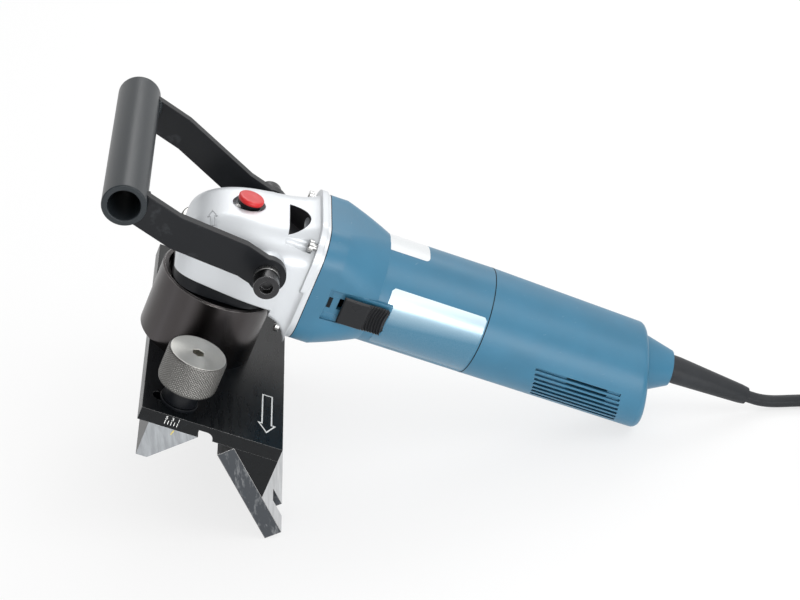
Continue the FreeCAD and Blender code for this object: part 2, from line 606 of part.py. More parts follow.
# ---------------------------------------------------------------- motor housing
def motor_housing():
    """Square at the gear head, round at the grip, with a tail that holds brushes and bearing."""
    body = doc.addObject("PartDesign::Body", "housing_form")
    land = sketch_on(body, "YZ_Plane", "head_seam")
    rounded_box(land, "flange_half_width", "0 - flange_half_height", "flange_half_height",
                "flange_round", "flange_round")
    pad(body, land, "flange_land")
    sections = [
        ("head_seam + flange_land", "flange_half_width", "flange_half_height", "flange_round"),
        ("head_seam + flange_land + 14", "(flange_half_width + barrel_radius) / 2 + 0.5",
         "(flange_half_height + barrel_radius) / 2 + 0.8", "(flange_round + barrel_radius) / 2"),
        ("barrel_start", "barrel_radius", "barrel_radius", "barrel_radius - 0.2"),
    ]
    outlines = []
    for place_x, half, top, corner in sections:
        sketch = sketch_on(body, "YZ_Plane", place_x)
        rounded_box(sketch, half, f"0 - ({top})", top, corner, corner)
        outlines.append(sketch)
    loft = body.newObject("PartDesign::AdditiveLoft", "run_out")
    loft.Profile = outlines[0]
    loft.Sections = outlines[1:]
    barrel = sketch_on(body, "YZ_Plane", "barrel_start - 1")
    circle(barrel, "0", "0", "barrel_radius")
    pad(body, barrel, "rear_seam - barrel_start + 1")
    rail = block(("slider_length + 14", "5", "slider_height + 3"),
                 ("slider_start - 12", "running - slider_face",
                  "slider_top - slider_height - 1.5"))
    outside = fuse("housing_outside", body, rail)
    bore = "barrel_bore"
    chamber = rod("fan_chamber", "20", ("head_seam - 1", "0", "0"), ALONG_X)
    inside = rod(bore, "rear_seam", ("head_seam", "0", "0"), ALONG_X)
    slot = block(("14 + slider_travel", "10", "8"),
                 ("slider_start + 6 - slider_travel", "0 - barrel_radius - 5", "0 - 4"))
    recess = block(("slider_length + slider_travel + 4", "20", "slider_height + 3"),
                   ("slider_start - slider_travel - 2", "running - slider_face - 20",
                    "slider_top - slider_height - 1.5"))
    tools = [chamber, inside, slot, recess]
    for side in SIDES:
        for level in SIDES:
            y, z = f"{side} * flange_screw_y", f"{level} * flange_screw_z"
            tools.append(rod("2.1", "15", ("head_seam - 1", y, z), ALONG_X))
    shell = cut("housing_shell", outside, *tools)
    tail_end = "(comm_start + comm_length + 12)"
    tail = turned("housing_tail", [
        ("bridge_radius - 2.5", "core_start + core_length + 10"),
        (f"{bore} + 1", "core_start + core_length + 10"),
        (f"{bore} + 1", "core_start + core_length + 13"),
        ("bridge_radius", "core_start + core_length + 13"),
        ("bridge_radius", tail_end), ("shaft_tail + 3", tail_end),
        ("shaft_tail + 3", f"{tail_end} - 2"),
        ("rear_bearing_radius", f"{tail_end} - 2"),
        ("rear_bearing_radius", f"{tail_end} - 2 - rear_bearing_width"),
        ("rear_bearing_radius + 2.5", f"{tail_end} - 2 - rear_bearing_width"),
        ("rear_bearing_radius + 2.5", f"{tail_end} - 3"),
        ("bridge_radius - 2.5", f"{tail_end} - 3")], ALONG_X)
    rod_gap = block(("60", "7", "9"), ("core_start + core_length + 9", "0 - barrel_radius + 2", "0 - 4.5"))
    brush_windows = block(("brush_length + 4", "brush_width + 4", "2 * barrel_radius"),
                          ("comm_start + comm_length / 2 - brush_length / 2 - 2",
                           "0 - brush_width / 2 - 2", "0 - barrel_radius"))
    tail_cut = cut("housing_tail_cut", tail, rod_gap, brush_windows)
    airway = []
    for angle in DIAGONALS:
        airway.append(rod("5", "8", (f"{tail_end} - 6", f"19.5 * cos({angle})",
                                     f"19.5 * sin({angle})"), ALONG_X))
    tail_cut = cut("housing_tail_open", tail_cut, *airway)
    return hand_in(fuse("motor_housing", shell, tail_cut), "motor_housing")


# ---------------------------------------------------------------- rear cover
def cover_cone(shrink="0"):
    """The rear cover's tapering round form, drooping a little towards its end."""
    length = "(rear_end - rear_seam + 12)"
    droop = math.degrees(math.atan(value("rear_drop / (rear_end - rear_seam)")))
    turn = FreeCAD.Rotation(FreeCAD.Vector(0, 1, 0), droop).multiply(ALONG_X)
    growth = "(barrel_radius - rear_radius) / (rear_end - rear_seam)"
    cone = taper(f"barrel_radius + 4 * {growth} - ({shrink})",
                 f"rear_radius - 8 * {growth} - ({shrink})", length,
                 ("rear_seam - 4", "0", "4 * rear_drop / (rear_end - rear_seam)"), turn)
    return cone


def slanted_end(back):
    """A wedge that takes off everything behind the slanted rear face."""
    low, high = "0 - 2 * barrel_radius", "2 * barrel_radius"
    slope = "rear_slant / (2 * rear_radius)"
    foot = "(0 - rear_radius - rear_drop)"
    points = [
        (f"{back} - ({low} - {foot}) * {slope}", low),
        (f"{back} + 6 * barrel_radius", low),
        (f"{back} + 6 * barrel_radius", high),
        (f"{back} - ({high} - {foot}) * {slope}", high),
    ]
    return slab("rear_wedge", points, "4 * barrel_radius")


SWITCH_BOX = (("32", "20", "26"), ("rear_seam + 38.6", "0 - 24", "0 - 16"))


def rear_cover():
    """Pot that closes the motor at the back, with air slots and the cord outlet."""
    ahead = block(("20", "4 * barrel_radius", "4 * barrel_radius"),
                  ("rear_seam - 20", "0 - 2 * barrel_radius", "0 - 2 * barrel_radius"))
    outer = cut("cover_outside", cover_cone(), slanted_end("rear_end"), ahead)
    rounded = doc.addObject("Part::Fillet", "cover_rounded")
    rounded.Base = outer
    doc.recompute()
    back_edges = [number for number, edge in enumerate(outer.Shape.Edges, 1)
                  if edge.CenterOfMass.x > value("rear_end - rear_slant - 2")
                  and edge.BoundBox.YLength > value("rear_radius")]
    rounded.Edges = [(number, value("rear_fillet"), value("rear_fillet")) for number in back_edges]
    rise = math.degrees(math.atan(value(f"5 / {OUTLET_RUN}")))
    outlet = taper("outlet_root", "outlet_radius", OUTLET_RUN,
                   ("rear_end - rear_slant - 8", "0", "outlet_z - 5"),
                   FreeCAD.Rotation(FreeCAD.Vector(0, 1, 0), -rise).multiply(ALONG_X))
    outside = fuse("cover_body", rounded, outlet)
    hollow = cut("cover_hollow", cover_cone("barrel_wall"),
                 slanted_end("rear_end - barrel_wall"))
    gland = rod("relief_radius", "60", ("outlet_x - 16", "0", "outlet_z"), ALONG_X)
    passage = rod("relief_radius - 3", "60", ("outlet_x - 40", "0", "outlet_z"), ALONG_X)
    tools = [hollow, gland, passage]
    for step in range(int(value("vent_count"))):
        drop = f"(vent_top + vent_pitch * {step})"
        start = f"(rear_end - vent_front + {drop} * rear_slant / (2 * rear_radius))"
        skin = f"sqrt(rear_radius * rear_radius - ({drop} + rear_drop) * ({drop} + rear_drop))"
        for side in SIDES:
            low = "0 - 30" if side < 0 else "0"
            tools.append(block(("vent_length", "30", "vent_height"),
                               (start, f"{side} * ({skin} - 12) + {low}", f"0 - {drop}")))
            tools.append(block(("vent_length + 1.4 * flute_reach", "30", "vent_height"),
                               (f"{start} - flute_reach",
                                f"{side} * ({skin} - flute_depth) + {low}", f"0 - {drop}")))
    shell = cut("cover_shell", outside, *tools)
    return hand_in(shell, "rear_cover")


# ---------------------------------------------------------------- collar and base plate
def clamp_collar():
    """Burnished steel ring between the bearing flange and the base plate."""
    ring = turned("collar_form", [
        ("collar_radius", "0 - plate_top"), ("collar_radius", "0 - collar_rim - 1"),
        ("collar_radius - 1", "0 - collar_rim"), ("collar_recess", "0 - collar_rim"),
        ("collar_recess", "0 - collar_rim - 4"), ("neck_radius", "0 - collar_rim - 4"),
        ("neck_radius", "0 - neck_foot - 1"), ("collar_bore", "0 - neck_foot - 3"),
        ("collar_bore", "0 - plate_top")])
    tools = []
    for angle in (60, 120):
        turn = FreeCAD.Rotation(FreeCAD.Vector(0, 0, 1), angle).multiply(ALONG_X)
        tools.append(rod("2.5", "20", (f"26 * cos({angle})", f"26 * sin({angle})",
                                       "0 - neck_foot + 6"), turn))
    for angle in DIAGONALS:
        tools.append(rod("1.8", "11", (f"34 * cos({angle})", f"34 * sin({angle})",
                                       "0 - plate_top - 1")))
    return hand_in(cut("clamp_collar", ring, *tools), "clamp_collar")


def collar_screws():
    """Two grub screws that lock the collar on the neck."""
    screws = []
    for angle in (60, 120):
        turn = FreeCAD.Rotation(FreeCAD.Vector(0, 0, 1), angle).multiply(ALONG_X)
        screws.append(rod("2.5", "collar_radius - neck_radius - 1",
                          (f"neck_radius * cos({angle})", f"neck_radius * sin({angle})",
                           "0 - neck_foot + 6"), turn))
    return hand_in(group("collar_screws", screws), "collar_screws")


BLOCK_SCREW_REACHES = ("(plate_length / 2 - block_screw_margin)",
                       "(plate_length / 2 - block_screw_margin - block_screw_pitch)")
BAR_SCREW_REACHES = ("(plate_length / 2 - end_screw_margin)",
                     "(plate_length / 2 - end_screw_margin - screw_pitch)")


def base_plate():
    """Black plate with the cutter hole, the stud slots and the channel under it."""
    rear = "(plate_width - plate_front)"
    foot = "0 - plate_top - plate_thick"
    body = slab("plate_form", [
        ("0 - plate_front", foot), (rear, foot), (rear, "0 - plate_top"),
        ("0 - plate_front", "0 - plate_top")], "plate_length")
    tools = [
        rod("cutter_hole", "plate_thick + 2", ("0", "0", f"{foot} - 1")),
        block(("channel_flat", "plate_length + 2", "channel_depth + 1"),
              ("channel_start", "0 - plate_length / 2 - 1", f"{foot} - 1")),
        rod("channel_depth", "plate_length + 2",
            ("channel_start + channel_flat", "0 - plate_length / 2 - 1", foot), ALONG_Y),
    ]
    slot_rear = "(stud_x - slot_half - slot_spare)"
    for side in SIDES:
        tools.append(block(("slot_front - slot_half + (0 - " + slot_rear + ") - slot_half",
                            "2 * slot_half", "plate_thick + 2"),
                           ("slot_half - slot_front", f"{side} * stud_y - slot_half", f"{foot} - 1")))
        for end in ("slot_half - slot_front", f"0 - {slot_rear} - slot_half"):
            tools.append(rod("slot_half", "plate_thick + 2", (end, f"{side} * stud_y", f"{foot} - 1")))
    for angle in DIAGONALS:
        x, y = f"34 * cos({angle})", f"34 * sin({angle})"
        tools.append(rod("2.2", "plate_thick + 2", (x, y, f"{foot} - 1")))
        tools.append(taper("4.2", "2.1", "2.4", (x, y, f"{foot} - 0.01")))
    for side in SIDES:
        for reach in BLOCK_SCREW_REACHES:
            tools.append(rod("2.5", "6", ("block_screw_x", f"{side} * {reach}", f"{foot} - 1")))
    return hand_in(cut("base_plate", body, *tools), "base_plate")


def plate_screws():
    """Four countersunk screws from the plate up into the collar."""
    screws = []
    for angle in DIAGONALS:
        screw = turned("screw", [
            ("0", "0.3"), ("3.8", "0.3"), ("2.1", "2.2"), ("2.1", "plate_thick"),
            ("1.8", "plate_thick"), ("1.8", "plate_thick + 9"), ("0", "plate_thick + 9")])
        screws.append(moved(screw, (f"34 * cos({angle})", f"34 * sin({angle})",
                                    "0 - plate_top - plate_thick")))
    return hand_in(group("plate_screws", screws), "plate_screws")


# ---------------------------------------------------------------- guides
def fixed_guide_block():
    """Wedge under the plate that backs the guide bar."""
    foot = f"0 - {PLATE_FOOT}"
    back_sum = f"(apex_x - apex_depth + bar_thick * sqrt(2))"
    rear = "(plate_width - plate_front)"
    body = slab("fixed_block_form", [
        (f"{back_sum} + {PLATE_FOOT}", foot), (rear, foot), (rear, f"{back_sum} - {rear}")],
        "plate_length")
    tools = []
    for side in SIDES:
        for reach in BLOCK_SCREW_REACHES:
            tools.append(rod("2.6", "60", ("block_screw_x", f"{side} * {reach}", f"{foot} - 30")))
            tools.append(rod("4.6", "20", ("block_screw_x", f"{side} * {reach}", f"{foot} - 26")))
        for reach in BAR_SCREW_REACHES:
            turn = FreeCAD.Rotation(FreeCAD.Vector(0, 1, 0), 45)
            tools.append(rod("2.5", "40", ("51 - 18", f"{side} * {reach}",
                                           f"{back_sum} - 51 - 18"), turn))
    return hand_in(cut("fixed_guide_block", body, *tools), "fixed_guide_block")


def block_screws():
    """Four screws that hold the fixed block to the plate, heads sunk behind the bar."""
    screws = []
    for side in SIDES:
        for reach in BLOCK_SCREW_REACHES:
            turn = FreeCAD.Rotation(FreeCAD.Vector(1, 0, 0), 180)
            at = ("block_screw_x", f"{side} * {reach}", f"0 - {PLATE_FOOT} - 6")
            screws.append(moved(cap_screw("2.45", "10", "4.3", "5", "2"), at, turn))
    return hand_in(group("block_screws", screws), "block_screws")


def guide_bar():
    """Hardened steel bar: its face is one side of the V."""
    slide = f"{BAR_OFFSET}"
    reach = "bar_length / sqrt(2)"
    deep = "bar_thick / sqrt(2)"
    start = (f"apex_x + {slide}", f"0 - apex_depth - {slide}")
    points = [
        start,
        (f"{start[0]} + {reach}", f"{start[1]} - {reach}"),
        (f"{start[0]} + {reach} + {deep}", f"{start[1]} - {reach} + {deep}"),
        (f"{start[0]} + {deep}", f"{start[1]} + {deep}"),
    ]
    body = slab("bar_form", points, "plate_length")
    tools = []
    for side in SIDES:
        for reach_y in BAR_SCREW_REACHES:
            turn = FreeCAD.Rotation(FreeCAD.Vector(0, 1, 0), 45)
            face = (f"51 - bar_thick / sqrt(2)", f"{side} * {reach_y}",
                    f"apex_x - apex_depth + bar_thick * sqrt(2) - 51 - bar_thick / sqrt(2)")
            tools.append(rod("2.7", "40", (f"{face[0]} - 1", face[1], f"{face[2]} - 1"), turn))
            tools.append(rod("4.7", "6.5", (f"{face[0]} - 0.7", face[1], f"{face[2]} - 0.7"), turn))
        across = "(bar_thick - bar_notch_depth - bar_notch) / sqrt(2)"
        near_end = f"{side} * (stud_y - 6) - bar_notch / 2"
        tools.append(block(("bar_notch + 2", "bar_notch", "bar_notch_depth + 1"),
                           (f"{TIP_X} + {across}", near_end,
                            f"{TIP_Z} + (bar_thick - bar_notch_depth + bar_notch) / sqrt(2)"), turn))
    return hand_in(cut("guide_bar", body, *tools), "guide_bar")


def bar_screws():
    """Four screws through the bar into the fixed block, heads below the guide face."""
    screws = []
    for side in SIDES:
        for reach in BAR_SCREW_REACHES:
            turn = FreeCAD.Rotation(FreeCAD.Vector(0, 1, 0), 225)
            sink = "(bar_thick - 5.5) / sqrt(2)"
            at = (f"51 - {sink}", f"{side} * {reach}",
                  f"apex_x - apex_depth + bar_thick * sqrt(2) - 51 - {sink}")
            screws.append(moved(cap_screw("2.45", "12", "4.3", "5", "2"), at, turn))
    return hand_in(group("bar_screws", screws), "bar_screws")


def sliding_guide_block():
    """Block that slides under the plate: its slope is the other side of the V."""
    foot = f"0 - {PLATE_FOOT}"
    low = f"0 - {PLATE_FOOT} - slide_block_drop"
    line = "(apex_x + apex_depth)"
    body = slab("slide_block_form", [
        ("0 - slide_block_back", low), (f"{line} + ({low})", low),
        (f"{line} + ({foot})", foot), ("0 - slide_block_back", foot)], "plate_length")
    tools = [rod("stud_radius + running", "stud_depth + 3",
                 ("0 - stud_x", f"{side} * stud_y", f"{foot} - stud_depth - 2")) for side in SIDES]
    return hand_in(cut("sliding_guide_block", body, *tools), "sliding_guide_block")


STUD_TOP = "(knob_top + knob_socket_depth + 4)"


def clamp_studs():
    """Two studs screwed into the sliding block, up through the plate's slots."""
    studs = [rod("stud_radius", f"{PLATE_FOOT} + stud_depth - {STUD_TOP}",
                 ("0 - stud_x", f"{side} * stud_y", f"0 - {PLATE_FOOT} - stud_depth"))
             for side in SIDES]
    return hand_in(group("clamp_studs", studs), "clamp_studs")


def clamp_knob(side, label):
    """Knurled knob, a nut on its stud, with a hexagon socket in the top."""
    under = "(knob_top + knob_height)"
    washer = "(plate_top - washer_thick)"
    knob = turned("knob_form", [
        ("0", f"play - {STUD_TOP}"), ("stud_radius + running", f"play - {STUD_TOP}"),
        ("stud_radius + running", f"0 - {washer}"), ("knob_neck", f"0 - {washer}"),
        ("knob_neck", f"0 - {under}"), ("knob_radius - 1.2", f"0 - {under}"),
        ("knob_radius", f"1.2 - {under}"), ("knob_radius", "0 - knob_top - 1.2"),
        ("knob_radius - 1.2", "0 - knob_top"), ("0", "0 - knob_top")])
    socket = doc.addObject("Part::Prism", "socket")
    socket.Polygon = 6
    bind(socket, "Circumradius", "knob_socket / cos(30)")
    bind(socket, "Height", "knob_socket_depth + 1")
    place(socket, ("0", "0", "0 - knob_top - knob_socket_depth"))
    whole = cut(label, knob, socket)
    whole.Placement.Base = FreeCAD.Vector(-value("stud_x"), side * value("stud_y"), 0)
    return hand_in(whole, label)


def clamp_washers():
    """Washers between the knobs and the plate."""
    rings = [moved(turned("washer", [
        ("stud_radius + play", "0 - plate_top"), ("washer_radius", "0 - plate_top"),
        ("washer_radius", "washer_thick - plate_top"),
        ("stud_radius + play", "washer_thick - plate_top")]),
        ("0 - stud_x", f"{side} * stud_y", "0")) for side in SIDES]
    return hand_in(group("clamp_washers", rings), "clamp_washers")


# ---------------------------------------------------------------- handle
def handle_tube():
    """Cross tube of the bow handle, open at both ends."""
    half = "tube_length / 2"
    tube = turned("handle_tube", [
        ("tube_bore", f"0 - {half}"), ("tube_radius", f"0 - {half}"),
        ("tube_radius", half), ("tube_bore", half)], ALONG_Y,
        ("0 - tube_x", "0", "tube_z"))
    return hand_in(tube, "handle_tube")


def handle_arm(side, label):
    """Flat bar, bent inwards from the tube to the gear head, with a rounded eye."""
    plan = doc.addObject("PartDesign::Body", "arm_plan")
    sketch = sketch_on(plan, "XY_Plane")
    near, far = "pivot_face", "arm_reach - arm_thick"
    bend_in, bend_out = "(pivot_x - arm_eye - 6)", "(0 - tube_x + 34)"
    shift = "arm_thick * 0.2"
    points = [
        ("pivot_x + arm_eye", near), ("pivot_x + arm_eye", f"{near} + arm_thick"),
        (f"{bend_in} + {shift}", f"{near} + arm_thick"), (f"{bend_out} + {shift}", "arm_reach"),
        ("0 - tube_x", "arm_reach"), ("0 - tube_x", far), (bend_out, far), (bend_in, near),
    ]
    polygon(sketch, [(x, f"{side} * ({y})") for x, y in points])
    pad(plan, sketch, "6 * tube_z", both_ways=True)
    profile = doc.addObject("PartDesign::Body", "arm_profile")
    outline = sketch_on(profile, "XZ_Plane")
    slope = "((tube_z - pivot_z) / (tube_x + pivot_x))"
    upright = f"sqrt(1 + {slope} * {slope})"
    half = f"(arm_width / 2 * {upright})"
    polygon(outline, [
        ("pivot_x", f"pivot_z - {half}"), ("pivot_x", f"pivot_z + {half}"),
        ("0 - tube_x", f"tube_z + {half}"), ("0 - tube_x", f"tube_z - {half}")])
    pad(profile, outline, "4 * arm_reach", both_ways=True)
    eye = rod("arm_eye", "4 * arm_reach", ("pivot_x", "0 - 2 * arm_reach", "pivot_z"), ALONG_Y)
    side_view = fuse("arm_side_view", profile, eye)
    bar = doc.addObject("Part::Common", "arm_bar")
    bar.Base = plan
    bar.Tool = side_view
    tube_seat = rod("tube_radius", "4 * tube_length",
                    ("0 - tube_x", "0 - 2 * tube_length", "tube_z"), ALONG_Y)
    eye_hole = rod("screw_radius + 0.1", "4 * arm_reach",
                   ("pivot_x", "0 - 2 * arm_reach", "pivot_z"), ALONG_Y)
    return hand_in(cut(label, bar, tube_seat, eye_hole), label)


def handle_bushes():
    """Sleeves between the screw heads and the arms."""
    sleeves = []
    for side in SIDES:
        sleeve = turned("bush", [
            ("screw_radius + 0.1", "0"), ("screw_head", "0"), ("screw_head", "bush_length"),
            ("screw_radius + 0.1", "bush_length")])
        turn = FreeCAD.Rotation(FreeCAD.Vector(1, 0, 0), -90 * side)
        at = ("pivot_x", f"{side} * (pivot_face + arm_thick)", "pivot_z")
        sleeves.append(moved(sleeve, at, turn))
    return hand_in(group("handle_bushes", sleeves), "handle_bushes")


def handle_screws():
    """Two large socket screws that clamp the handle arms to the gear head."""
    screws = []
    for side in SIDES:
        turn = FreeCAD.Rotation(FreeCAD.Vector(1, 0, 0), -90 * side)
        at = ("pivot_x", f"{side} * (pivot_face + arm_thick + bush_length)", "pivot_z")
        screws.append(moved(cap_screw("screw_radius", "arm_thick + bush_length + 14.5",
                                      "screw_head", "screw_head_length", "4"), at, turn))
    return hand_in(group("handle_screws", screws), "handle_screws")


# ---------------------------------------------------------------- bevel gears
def bevel_numbers():
    """Pitch sizes shared by both gears: their cones meet where the two axes cross."""
    crown_pitch = value("crown_teeth * gear_module / 2")
    pinion_pitch = value("pinion_teeth * gear_module / 2")
    cone = math.hypot(crown_pitch, pinion_pitch)
    inner = 1 - value("tooth_face") / cone
    return crown_pitch, pinion_pitch, inner


def tooth_space(pitch_point, along, outward, half_pitch, half_root, half_tip, depth, rise, inner):
    """The wedge between two teeth, which shrinks towards the crossing of the axes."""
    def section(scale):
        base = pitch_point * scale
        corners = [
            base - outward * depth * scale - along * half_root * scale,
            base - outward * depth * scale + along * half_root * scale,
            base + outward * rise * scale + along * half_tip * scale,
            base + outward * rise * scale - along * half_tip * scale,
        ]
        return Part.makePolygon(corners + corners[:1])
    return Part.makeLoft([section(inner - 0.1), section(1.12)], True, True)


ADDENDUM = 0.75
DEDENDUM = 1.0
TOOTH_SHARE = 0.40
FLANK = math.tan(math.radians(20))


def cone_frustum(points):
    """Turn (height, radius) points about the Z axis."""
    ring = [FreeCAD.Vector(radius, 0, height) for height, radius in points]
    return Part.Face(Part.makePolygon(ring + ring[:1])).revolve(
        FreeCAD.Vector(0, 0, 0), FreeCAD.Vector(0, 0, 1), 360)


def bevel_blank_and_space(own_pitch, other_pitch, teeth):
    """Tip and root points of one gear at both ends, and one of its tooth spaces.

    The gear's axis is Z and its cone's point is the origin.
    """
    module = value("gear_module")
    cone = math.hypot(own_pitch, other_pitch)
    along_cone = FreeCAD.Vector(own_pitch / cone, 0, other_pitch / cone)
    outward = FreeCAD.Vector(other_pitch / cone, 0, -own_pitch / cone)
    pitch_point = along_cone * cone
    half_gap = math.pi * module * (1 - TOOTH_SHARE) / 2
    depth, rise = DEDENDUM * module, ADDENDUM * module
    over = 2.2
    space = tooth_space(pitch_point, FreeCAD.Vector(0, 1, 0), outward, half_gap,
                        half_gap - FLANK * depth, half_gap + FLANK * rise * over,
                        depth, rise * over, 1 - value("tooth_face") / cone)
    tip = pitch_point + outward * rise
    root = pitch_point - outward * depth
    spaces = [spin(space, 360 * number / teeth) for number in range(int(teeth))]
    return tip, root, spaces


def pinion():
    """Small bevel gear on the armature shaft."""
    crown_pitch, pinion_pitch, inner = bevel_numbers()
    tip, root, spaces = bevel_blank_and_space(pinion_pitch, crown_pitch, value("pinion_teeth"))
    bore = value("shaft_core") - 1.2
    tail = crown_pitch + 4
    blank = cone_frustum([
        (tip.z * inner, bore), (tip.z * inner, tip.x * inner), (tip.z, tip.x),
        (root.z + 0.3, root.x), (tail, root.x), (tail, bore)])
    teeth = blank.cut(Part.makeCompound(spaces))
    gear = made_by_code("pinion", teeth)
    gear.Placement = FreeCAD.Placement(FreeCAD.Vector(0, 0, 0), ALONG_X)
    return hand_in(gear, "pinion")


def crown_gear():
    """Large bevel gear on the spindle, half a tooth round from the pinion's tooth."""
    crown_pitch, pinion_pitch, inner = bevel_numbers()
    tip, root, spaces = bevel_blank_and_space(crown_pitch, pinion_pitch, value("crown_teeth"))
    bore = value("journal_radius + 1.5")
    hub = bore + 4
    foot = value("head_foot + 1")
    back = root.z + 4
    blank = cone_frustum([
        (root.z * inner, bore), (tip.z * inner, tip.x * inner), (tip.z, tip.x),
        (root.z, root.x + 0.4), (back, root.x - 2), (back, hub), (foot, hub), (foot, bore)])
    teeth = blank.cut(Part.makeCompound(spaces))
    gear = made_by_code("crown_gear", teeth)
    over = FreeCAD.Rotation(FreeCAD.Vector(1, 0, 0), 180)
    half_tooth = FreeCAD.Rotation(FreeCAD.Vector(0, 0, 1), 180 / value("crown_teeth"))
    gear.Placement = FreeCAD.Placement(FreeCAD.Vector(0, 0, 0), half_tooth.multiply(over))
    return hand_in(gear, "crown_gear")


# ---------------------------------------------------------------- spindle and cutter
def spindle():
    """Upright shaft with the cutter's thread below and a lock slot on top."""
    bearing_foot = "(head_foot + 1 + main_bearing_width)"
    body = turned("spindle_form", [
        ("0", "0 - cut_depth + 6"), ("thread_radius", "0 - cut_depth + 6"),
        ("thread_radius", "0 - neck_foot - 8"), ("spindle_shoulder", "0 - neck_foot - 8"),
        ("spindle_shoulder", f"0 - {bearing_foot}"), ("spindle_radius", f"0 - {bearing_foot}"),
        ("spindle_radius", "0 - head_foot - 1"), ("journal_radius + 1.5", "0 - head_foot - 1"),
        ("journal_radius + 1.5", "0 - 2"), ("journal_radius", "0 - 2"),
        ("journal_radius", "spindle_top"), ("0", "spindle_top")])
    slot = block(("4 * journal_radius", "3.6", "4"),
                 ("0 - 2 * journal_radius", "0 - 1.8", "spindle_top - 3.5"))
    return hand_in(cut("spindle", body, slot), "spindle")


def ring_bearing(name, inner, outer, width, at, rotation=ALONG_Z):
    """A ball bearing as one closed ring."""
    body = turned(name, [(inner, "0"), (outer, "0"), (outer, width), (inner, width)],
                  rotation, at)
    return hand_in(body, name)


def insert_pose(number, at=(0.0, 0.0, 0.0)):
    """Where an insert stands: its face along a radius of the cutter head."""
    angle = 360 * number / value("insert_count") + 20
    turn = FreeCAD.Rotation(FreeCAD.Vector(0, 0, 1), angle)
    return FreeCAD.Placement(turn.multVec(FreeCAD.Vector(*at)), turn)


def cutter_head():
    """Steel head with a pocket for each insert and a gullet before it."""
    top = "0 - neck_foot - 8"
    foot = "0.8 - cut_depth"
    body = turned("cutter_form", [
        ("thread_radius", foot), ("cutter_radius - 1", foot), ("cutter_radius", f"1 + {foot}"),
        ("cutter_radius", "0 - neck_foot - 16"), ("cutter_radius - 8", top),
        ("thread_radius", top)])
    tools = []
    for number in range(int(value("insert_count"))):
        start = value("cut_radius - insert_size")
        pocket = block(("insert_size + 6", "insert_thick + 7", "insert_size + 6"),
                       ("0", "0", "0"))
        pocket.setExpression("Placement.Base.x", None)
        pocket.setExpression("Placement.Base.y", None)
        pocket.setExpression("Placement.Base.z", None)
        pocket.Placement = insert_pose(number, (start, 0, -value("cut_depth") - 6))
        tools.append(pocket)
        hole = rod("1.6", "7", ("0", "0", "0"))
        for axis in "xyz":
            hole.setExpression(f"Placement.Base.{axis}", None)
        middle = value("cut_radius - insert_size / 2")
        level = value("insert_size / 2 - cut_depth")
        lay = FreeCAD.Rotation(FreeCAD.Vector(1, 0, 0), 90)
        pose = insert_pose(number, (middle, 0.5, level))
        hole.Placement = FreeCAD.Placement(pose.Base, pose.Rotation.multiply(lay))
        tools.append(hole)
    return hand_in(cut("cutter_head", body, *tools), "cutter_head")


def cutter_inserts():
    """Square carbide inserts, each with its screw hole."""
    pieces = []
    side, thick = value("insert_size"), value("insert_thick")
    for number in range(int(value("insert_count"))):
        plate = Part.makeBox(side, thick, side)
        hole = Part.makeCylinder(1.8, thick + 2, FreeCAD.Vector(side / 2, -1, side / 2),
                                 FreeCAD.Vector(0, 1, 0))
        piece = plate.cut(hole)
        piece.Placement = insert_pose(number, (value("cut_radius") - side, 0, -value("cut_depth")))
        pieces.append(piece)
    return hand_in(made_by_code("cutter_inserts", Part.makeCompound(pieces)), "cutter_inserts")


def insert_screws():
    """One small screw through each insert."""
    pieces = []
    side, thick = value("insert_size"), value("insert_thick")
    for number in range(int(value("insert_count"))):
        shank = Part.makeCylinder(1.55, thick + 5, FreeCAD.Vector(0, -5, 0),
                                  FreeCAD.Vector(0, 1, 0))
        head = Part.makeCylinder(2.6, 0.8, FreeCAD.Vector(0, thick, 0), FreeCAD.Vector(0, 1, 0))
        piece = shank.fuse(head)
        middle = value("cut_radius") - side / 2
        piece.Placement = insert_pose(number, (middle, 0, side / 2 - value("cut_depth")))
        pieces.append(piece)
    return hand_in(made_by_code("insert_screws", Part.makeCompound(pieces)), "insert_screws")


# ---------------------------------------------------------------- motor
def armature_shaft():
    """Steel shaft from the pinion to the rear bearing."""
    crown_pitch, pinion_pitch, inner = bevel_numbers()
    gear_end = f"{round(crown_pitch * inner, 3)} - 1"
    front = "(head_seam - front_bearing_width - 3)"
    tail = "(comm_start + comm_length + 10)"
    body = turned("armature_shaft", [
        ("0", gear_end), ("shaft_core - 1.2", gear_end),
        ("shaft_core - 1.2", f"{round(crown_pitch + 4, 3)}"), ("shaft_radius", f"{round(crown_pitch + 4, 3)}"),
        ("shaft_radius", f"{front} + front_bearing_width"), ("shaft_core + 1.5", f"{front} + front_bearing_width"),
        ("shaft_core + 1.5", "fan_start"), ("shaft_core", "fan_start"),
        ("shaft_core", "comm_start + comm_length + 1"), ("shaft_tail", "comm_start + comm_length + 1"),
        ("shaft_tail", tail), ("0", tail)], ALONG_X)
    return hand_in(body, "armature_shaft")


def armature_core():
    """Laminated core with slots for the windings."""
    body = turned("core_form", [
        ("shaft_core", "core_start"), ("core_radius", "core_start"),
        ("core_radius", "core_start + core_length"), ("shaft_core", "core_start + core_length")],
        ALONG_X)
    tools = []
    count = int(value("core_slots"))
    for number in range(count):
        angle = 360 * number / count
        radius = "(core_radius - 4.5)"
        tools.append(rod("1.9", "core_length + 2",
                         ("core_start - 1", f"{radius} * cos({angle})", f"{radius} * sin({angle})"),
                         ALONG_X))
    return hand_in(cut("armature_core", body, group("core_slot_rods", tools)), "armature_core")


